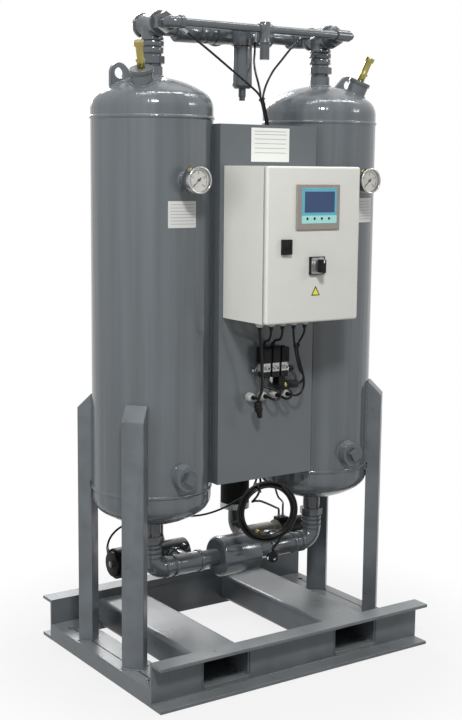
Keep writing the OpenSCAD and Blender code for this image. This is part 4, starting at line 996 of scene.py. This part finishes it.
class DRYER_OT_valves(bpy.types.Operator):
    """Purge valves with their actuators and silencers"""

    bl_idname = "dryer.valves"
    bl_label = "Purge Valves"

    def execute(self, context):
        for side in ("left", "right"):
            bare = side == "right"
            dress(side + "_purge_valve", NYLON, "cast aluminium" if bare else IRON,
                  "turned brass" if bare else IRON, "brushed stainless", pick=valve_part)
            dress(side + "_silencer", "sintered black plastic", IRON, "zinc plate",
                  pick=lambda q: 1 if q.z < 331.9 else 2 if q.z < 350.1 else 0)
        return {"FINISHED"}


def dial_heading(share):
    """Direction on the dial at a share of its sweep."""
    return spoke(RIGHT, UP, math.radians(DIAL_START - DIAL_SWEEP * share))


def dial_card(mesh, x):
    """Dial card, with its ticks, arc and figures."""
    turned(mesh, (x, DIAL_Y, GAUGE_Z), FRONT, ((0, 29.6), (0.3, 29.6)), 48)
    for i in range(33):
        out = dial_heading(i / 32)
        start, half = (22.8, 0.42) if i % 4 else (21, 0.7)
        dial_strokes(mesh, x, (out * start, out * 25.4), half)
    dial_strokes(mesh, x, [dial_heading(i / 40) * 25 for i in range(41)], 0.5)
    for value in (0, 4, 8, 12, 16):
        word = str(value)
        at = dial_heading(value / 16) * 17.2 - Vector((1.6 * len(word), 0, 2.2))
        for k, figure in enumerate(word):
            dots = [at + Vector((1.1 * a + 3.4 * k, 0, 1.1 * b)) for a, b in FIGURES[figure]]
            dial_strokes(mesh, x, dots, 0.42)


def dial_strokes(mesh, x, dots, half):
    """Printed strokes on a dial from each dot to the next."""
    middle = Vector((x, DIAL_Y - 0.42, GAUGE_Z))
    for start, end in zip(dots, dots[1:]):
        along = (end - start).normalized()
        across = Vector((-along.z, 0, along.x)) * half
        corners = (start - across, end - across, end + across, start + across)
        face = mesh.faces.new([mesh.verts.new((middle + q) * MM) for q in corners])
        face.material_index = 1


def dial_bezel(mesh, x):
    """Rolled bezel, and the brass filling plug on the case, up and to the left."""
    turned(mesh, (x, GAUGE_FACE_Y, GAUGE_Z), FRONT, (
        (-8, 34), (-7.8, 34.5), (-1.6, 34.5), (-0.4, 34.2), (0.4, 33.4), (0.7, 32.4), (0.4, 31.2),
        (-0.6, 30.4), (-2, 30.2)), 64, caps=False)
    out = spoke(RIGHT, UP, math.radians(128))
    turned(mesh, Vector((x, GAUGE_FACE_Y + 18, GAUGE_Z)) + out * 32, out, (
        (0, 7), (3.6, 7), (4.2, 6.2), (4.2, 3), (3.4, 2.6)), 24, 1)


class DRYER_OT_gauges(bpy.types.Operator):
    """Pressure gauges with polished bezels and printed dials"""

    bl_idname = "dryer.gauges"
    bl_label = "Gauges"

    def execute(self, context):
        for side, x in (("left", -VESSEL_X), ("right", VESSEL_X)):
            dress(side + "_gauge", "brushed stainless", "turned brass", ease=0.0006,
                  pick=lambda q: int(q.y > -185.5))
            dress(side + "_pointer", "dial ink")
            dress(side + "_gauge_glass", "gauge glass")
            mesh_piece(side + "_dial", lambda mesh: dial_card(mesh, x), "dial card", "dial ink")
            mesh_piece(side + "_bezel", lambda mesh: dial_bezel(mesh, x), "polished stainless",
                       "turned brass", smooth=60)
        return {"FINISHED"}


def door_tray(mesh):
    """Front sheet of the door and its folded sides, left open round the hinge eyes."""
    fold = 6
    rows = []
    for inset, y in [(0, -304), (0, SHEET_BACK_Y + fold)] + [
            (fold * (1 - math.cos(a)), DOOR_Y + fold * (1 - math.sin(a)))
            for a in (math.radians(15 * i) for i in range(1, 7))]:
        shape = outline(DOOR_WIDE - 2 * inset, DOOR_HIGH - 2 * inset, max(0.5, 7 - inset))
        # Points down the right side mark off the openings round the hinge eyes.
        shape += [(DOOR_WIDE / 2 - inset, z) for z in (-120, -100, 100, 120)]
        rows.append([mesh.verts.new(Vector((DOOR_X + a, y, DOOR_Z + b)) * MM) for a, b in shape])
    count = len(rows[0])
    for k, (low, high) in enumerate(zip(rows, rows[1:])):
        for i in range(count):
            if k < 5 and i in (count - 4, count - 2):
                continue
            n = (i + 1) % count
            mesh.faces.new((low[i], low[n], high[n], high[i]))
    mesh.faces.new(rows[-1])


def door_hinges(mesh):
    """Pins and tabs on which the door swings."""
    for z in HINGES_Z:
        turned(mesh, (149, -314, z - 10), UP, ((0, 2), (20, 2)), 16)
        for foot in (z - 14, z + 10):
            loft(mesh, [[Vector((x, y, foot + rise)) * MM for x, y in (
                (145 + inset, SHEET_BACK_Y), (153.4, SHEET_BACK_Y),
                (153.4, -310 - inset), (145 + inset, -310 - inset))]
                for rise, inset in ((0, 0.4), (0.4, 0), (3.6, 0), (4, 0.4))])


class DRYER_OT_cabinet(bpy.types.Operator):
    """Control panel sheet, cabinet, and the door with its folded edges"""

    bl_idname = "dryer.cabinet"
    bl_label = "Cabinet"

    def execute(self, context):
        dress("control_panel", "satin enamel on steel")
        dress("cabinet_body", "pale powder coat", ease=0.0012)
        dress("controls_plate", "zinc plate", NYLON, "pale gland nylon", pick=lambda q: (
            0 if q.y > -136.6 else 1 if q.z > 1180 else 2))
        skin = mesh_piece("door_skin", door_tray, "pale powder coat", body=DOOR, smooth=50)
        sheet = skin.modifiers.new("Sheet", "SOLIDIFY")
        sheet.thickness = 0.0015
        sheet.offset = -1
        hinges = mesh_piece("door_hinges", door_hinges, "pale powder coat", body=DOOR)
        for piece in (skin, hinges):
            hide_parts("cabinet_door")
        return {"FINISHED"}


def panel_film(mesh):
    """Printed film, the screen's window in it, and the key strip with its keys."""
    front_plate(mesh, (15, FILM_Y, 1270.5), (113, 90.5), 0.5, 2, 0, 0.3)
    front_plate(mesh, (15.7, FILM_Y - 0.5, 1280), (97, 53.6), 0.2, 1.5, 1, 0.1)
    front_plate(mesh, (15, FILM_Y - 0.5, 1235.7), (113, 20), 0.2, 1.5, 2, 0.1)
    for x in (-23.9, -0.5, 22.9, 46.3):
        turned(mesh, (x, FILM_Y - 0.7, 1237.9), FRONT, ((0, 3.5), (0.5, 3.3), (0.9, 2.2)), 24, 3)


def switch_face(mesh):
    """Silver face behind the switch, with a mark at each stop."""
    front_plate(mesh, (SWITCH_X, SWITCH_Y, SWITCH_Z), (41, 41), 0.5, 3, 0, 0.3)
    for right, over, size in ((0, 18.6, (2, 4)), (18.6, 0, (4, 2))):
        front_plate(mesh, (SWITCH_X + right, SWITCH_Y - 0.5, SWITCH_Z + over), size, 0.15, 0.3, 1, 0.05)


def latch_lock(mesh):
    """Rim, core and slot of the lock in the latch."""
    turned(mesh, (LATCH_X, -330.3, LATCH_Z), FRONT, (
        (0, 9.5), (1.2, 9.5), (1.8, 8.9), (1.8, 7.4), (0.3, 7)), 36)
    turned(mesh, (LATCH_X, -330.6, LATCH_Z), FRONT, ((0, 4.4), (0.9, 4.4), (1.3, 4)), 24)
    front_plate(mesh, (LATCH_X, -331.9, LATCH_Z), (1.6, 6), 0.2, 0.5, 0, 0.1)


def yellow_triangle(mesh):
    """Black triangle with the smaller yellow one on it."""
    for index, y, thick, inset in ((0, DOOR_Y, 0.3, 0), (1, DOOR_Y - 0.3, 0.15, 2.6)):
        wide = 14.4 - 1.73 * inset
        loft(mesh, [[Vector((SWITCH_X + a, y - rise, 1047.6 + b)) * MM for a, b in (
            (-wide, inset - 8.4), (wide, inset - 8.4), (0, 16.5 - 2 * inset))]
            for rise in (0, thick)], index)


class DRYER_OT_door_fittings(bpy.types.Operator):
    """Operator panel, switch and latch on the door, and the bare yellow triangle"""

    bl_idname = "dryer.door_fittings"
    bl_label = "Door Fittings"

    def execute(self, context):
        dress("door_latch", NYLON, ease=0.0045)
        dress("hmi", "taupe panel moulding", NYLON, ease=0.0025, pick=lambda q: int(q.y > DOOR_Y + 0.5))
        dress("switch_plate", NYLON, ease=0.0015)
        dress("switch_knob", NYLON, "satin silver plate", ease=0.002,
              pick=lambda q: int(-337.5 < q.y < -327))
        mesh_piece("panel_film", panel_film, "teal panel film", "screen window", "aqua key strip", NYLON,
                   body=DOOR)
        mesh_piece("switch_face", switch_face, "satin silver plate", "dial ink", body=DOOR)
        mesh_piece("switch_index", lambda mesh: front_plate(
            mesh, (SWITCH_X, -355, 1129.5), (3, 8), 0.4, 0.8, edge=0.2), "white plate film", body=SWITCH)
        mesh_piece("latch_lock", latch_lock, NYLON, "zinc plate", body=LATCH)
        mesh_piece("yellow_triangle", yellow_triangle, "dial ink", "yellow film", body=DOOR)
        return {"FINISHED"}


def panel_plate(mesh):
    """White plate over the cabinet, with its ruled lines."""
    front_plate(mesh, (2.5, PANEL_Y, 1425.5), (125, 89), 0.8, 2)
    for z, wide in ((1461, 106), (1453, 106), (1441, 104), (1429, 104), (1417, 104), (1405, 104)):
        front_plate(mesh, (2.5, PANEL_Y - 0.8, z), (wide, 1.1), 0.1, 0.4, 1, 0.05)


def vessel_plate(mesh, side, angle, z):
    """Silvered plate on a vessel's shell, with its ruled lines."""
    wrapped(mesh, side, angle, z, (83, 68), 0.7)
    for row in range(7):
        wrapped(mesh, side, angle, z + 25 - 8.2 * row, (72, 1), 0.8, 1)


class DRYER_OT_plates(bpy.types.Operator):
    """Plain plates, white on the panel and silvered on the vessels, with ruled lines"""

    bl_idname = "dryer.plates"
    bl_label = "Plates"

    def execute(self, context):
        mesh_piece("panel_plate", panel_plate, "white plate film", "grey plate rule")
        for name, side, angle, z in (
                ("left_vessel_plate", -1, 268.6, 1245), ("right_vessel_plate", 1, 287, 1250)):
            mesh_piece(name, lambda mesh: vessel_plate(mesh, side, angle, z),
                       "silvered plate film", "grey plate rule")
        return {"FINISHED"}


def block_part(q):
    """Which finish a face of the block has: steel valves, a port block painted black as shade, brass nut
    or switch.
    """
    if q.z > 803:
        return 0
    if q.x < 44.2:
        # Black on the port block is painted shade: the block is metal, dark in the cabinet's shadow.
        return 2 if q.x > 23 and q.z < 797 else 0
    return 1 if q.x < 53.9 else 2


def ribbed_glands(mesh):
    """Glands: hexagon on the sheet, ribbed dome nut, sealing ring, sleeve, and a lock nut behind."""
    for (places, y, z), along, back in ((CABINET_GLANDS, -UP, 7.5), (PANEL_GLANDS, FRONT, 12)):
        for at in ((x, y, z) for x in places):
            for way, steps, sides, index in (
                    (along, ((0, 13.2), (4, 13.2)), 6, 0),
                    (along, ((3.9, 9.5), (6, 9.5)), 24, 0),
                    (along, ((6, 11.2), (7, 12), (13, 12), (13.5, 11)), 12, 0),
                    (along, ((13, 10.8), (16, 9.8), (18, 8), (19, 7)), 24, 0),
                    (along, ((18.5, 6.4), (22, 6), (29, 4.6), (30, 4)), 20, 1),
                    (-along, ((0, 7.9), (back, 7.9)), 20, 0),
                    (-along, ((2, 11), (back, 11)), 6, 0)):
                turned(mesh, at, way, steps, sides, index)


def coil_sleeves(mesh):
    """Ribbed sleeves where the leads enter the first two coils."""
    for x in COILS_X[:2]:
        turned(mesh, (x, -146, 884), UP, (
            (-1, 7.5), (2, 7.5), (2.5, 6), (4, 6), (4.4, 5.2), (5.6, 5.2), (6, 5.8), (7.6, 5.8), (8, 5),
            (9.2, 5), (9.6, 5.4), (11, 5.2), (12, 3.4)), 24)


def coil_covers(mesh):
    """Raised front of each coil, and the nut on its top."""
    for x in COILS_X:
        front_plate(mesh, (x, -165, 862), (20, 34), 1.2, 3, 0, 0.8)
        turned(mesh, (x, -150, 883.8), UP, ((0, 6), (2.4, 6), (3, 5.4)), 6)


def valve_skirts(mesh):
    """Black foot of each valve."""
    for x in COILS_X:
        front_plate(mesh, (x, -139, 811), (22.8, 17), 23, 2, 0, 1.5)


def port_plugs(mesh):
    """Plug on the front of each valve, and one at each end of the row."""
    for x in COILS_X:
        turned(mesh, (x, -161, 829), FRONT, ((-0.5, 8), (3.5, 8), (4, 7.4)), 6)
        turned(mesh, (x, -165, 829), FRONT, ((0, 5.6), (4, 5.6), (5, 4.8)), 24)
        turned(mesh, (x, -170, 829), FRONT, ((0, 3.4), (0.3, 3)), 20, 1)
    turned(mesh, (46.8, -150, 822), RIGHT, ((0, 9), (5, 9), (5.4, 8)), 6)
    turned(mesh, (51.8, -150, 822), RIGHT, ((0, 8.4), (17, 8.4), (18.5, 7)), 24, 1)
    turned(mesh, (-39.8, -132, 822), -RIGHT, ((0, 8), (5, 8), (5.4, 7)), 6)
    turned(mesh, (-45, -132, 822), -RIGHT, ((0, 5.4), (9, 5.4), (10, 4.6)), 24)


class DRYER_OT_pilot_valves(bpy.types.Operator):
    """Pilot valves, their coils, fittings and the cable glands"""

    bl_idname = "dryer.pilot_valves"
    bl_label = "Pilot Valves"

    def execute(self, context):
        dress("pilot_valve_block", "brushed stainless", "turned brass", NYLON, ease=0.0006,
              pick=block_part)
        dress("solenoid_coils", NYLON, ease=0.003)
        glands = mesh_piece("ribbed_glands", ribbed_glands, "pale gland nylon", NYLON, smooth=30)
        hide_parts("cable_glands")
        mesh_piece("coil_sleeves", coil_sleeves, NYLON, smooth=30)
        mesh_piece("coil_covers", coil_covers, NYLON)
        mesh_piece("valve_skirts", valve_skirts, NYLON)
        mesh_piece("port_plugs", port_plugs, "polished stainless", NYLON, smooth=30)
        return {"FINISHED"}


class DRYER_PT_panel(bpy.types.Panel):
    """Sidebar list of the dryer's operators, colours and sizes"""

    bl_idname = "DRYER_PT_panel"
    bl_label = "Desiccant Air Dryer"
    bl_space_type = "VIEW_3D"
    bl_region_type = "UI"
    bl_category = "Dryer"

    def draw(self, context):
        for maker in OPERATORS:
            self.layout.operator(maker.bl_idname)
        for group in (context.scene.dryer_sizes, context.scene.dryer_colours):
            for key in group.__annotations__:
                self.layout.prop(group, key)


OPERATORS = (
    DRYER_OT_stage, DRYER_OT_air_tubes, DRYER_OT_control_leads, DRYER_OT_mains_lead, DRYER_OT_ties,
    DRYER_OT_skid, DRYER_OT_vessels, DRYER_OT_welds, DRYER_OT_pipework, DRYER_OT_valves, DRYER_OT_gauges,
    DRYER_OT_cabinet, DRYER_OT_door_fittings, DRYER_OT_plates, DRYER_OT_pilot_valves)
CLASSES = (DryerColours, DryerSizes, *OPERATORS, DRYER_PT_panel)


def register():
    for made in CLASSES:
        bpy.utils.register_class(made)
    bpy.types.Scene.dryer_colours = bpy.props.PointerProperty(type=DryerColours)
    bpy.types.Scene.dryer_sizes = bpy.props.PointerProperty(type=DryerSizes)


def unregister():
    del bpy.types.Scene.dryer_sizes
    del bpy.types.Scene.dryer_colours
    for made in reversed(CLASSES):
        bpy.utils.unregister_class(made)


def main():
    register()
    bpy.ops.dryer.stage()
    bpy.ops.dryer.air_tubes()
    bpy.ops.dryer.control_leads()
    bpy.ops.dryer.mains_lead()
    bpy.ops.dryer.ties()
    bpy.ops.dryer.skid()
    bpy.ops.dryer.vessels()
    bpy.ops.dryer.welds()
    bpy.ops.dryer.pipework()
    bpy.ops.dryer.valves()
    bpy.ops.dryer.gauges()
    bpy.ops.dryer.cabinet()
    bpy.ops.dryer.door_fittings()
    bpy.ops.dryer.plates()
    bpy.ops.dryer.pilot_valves()


if __name__ == "__main__":
    main()
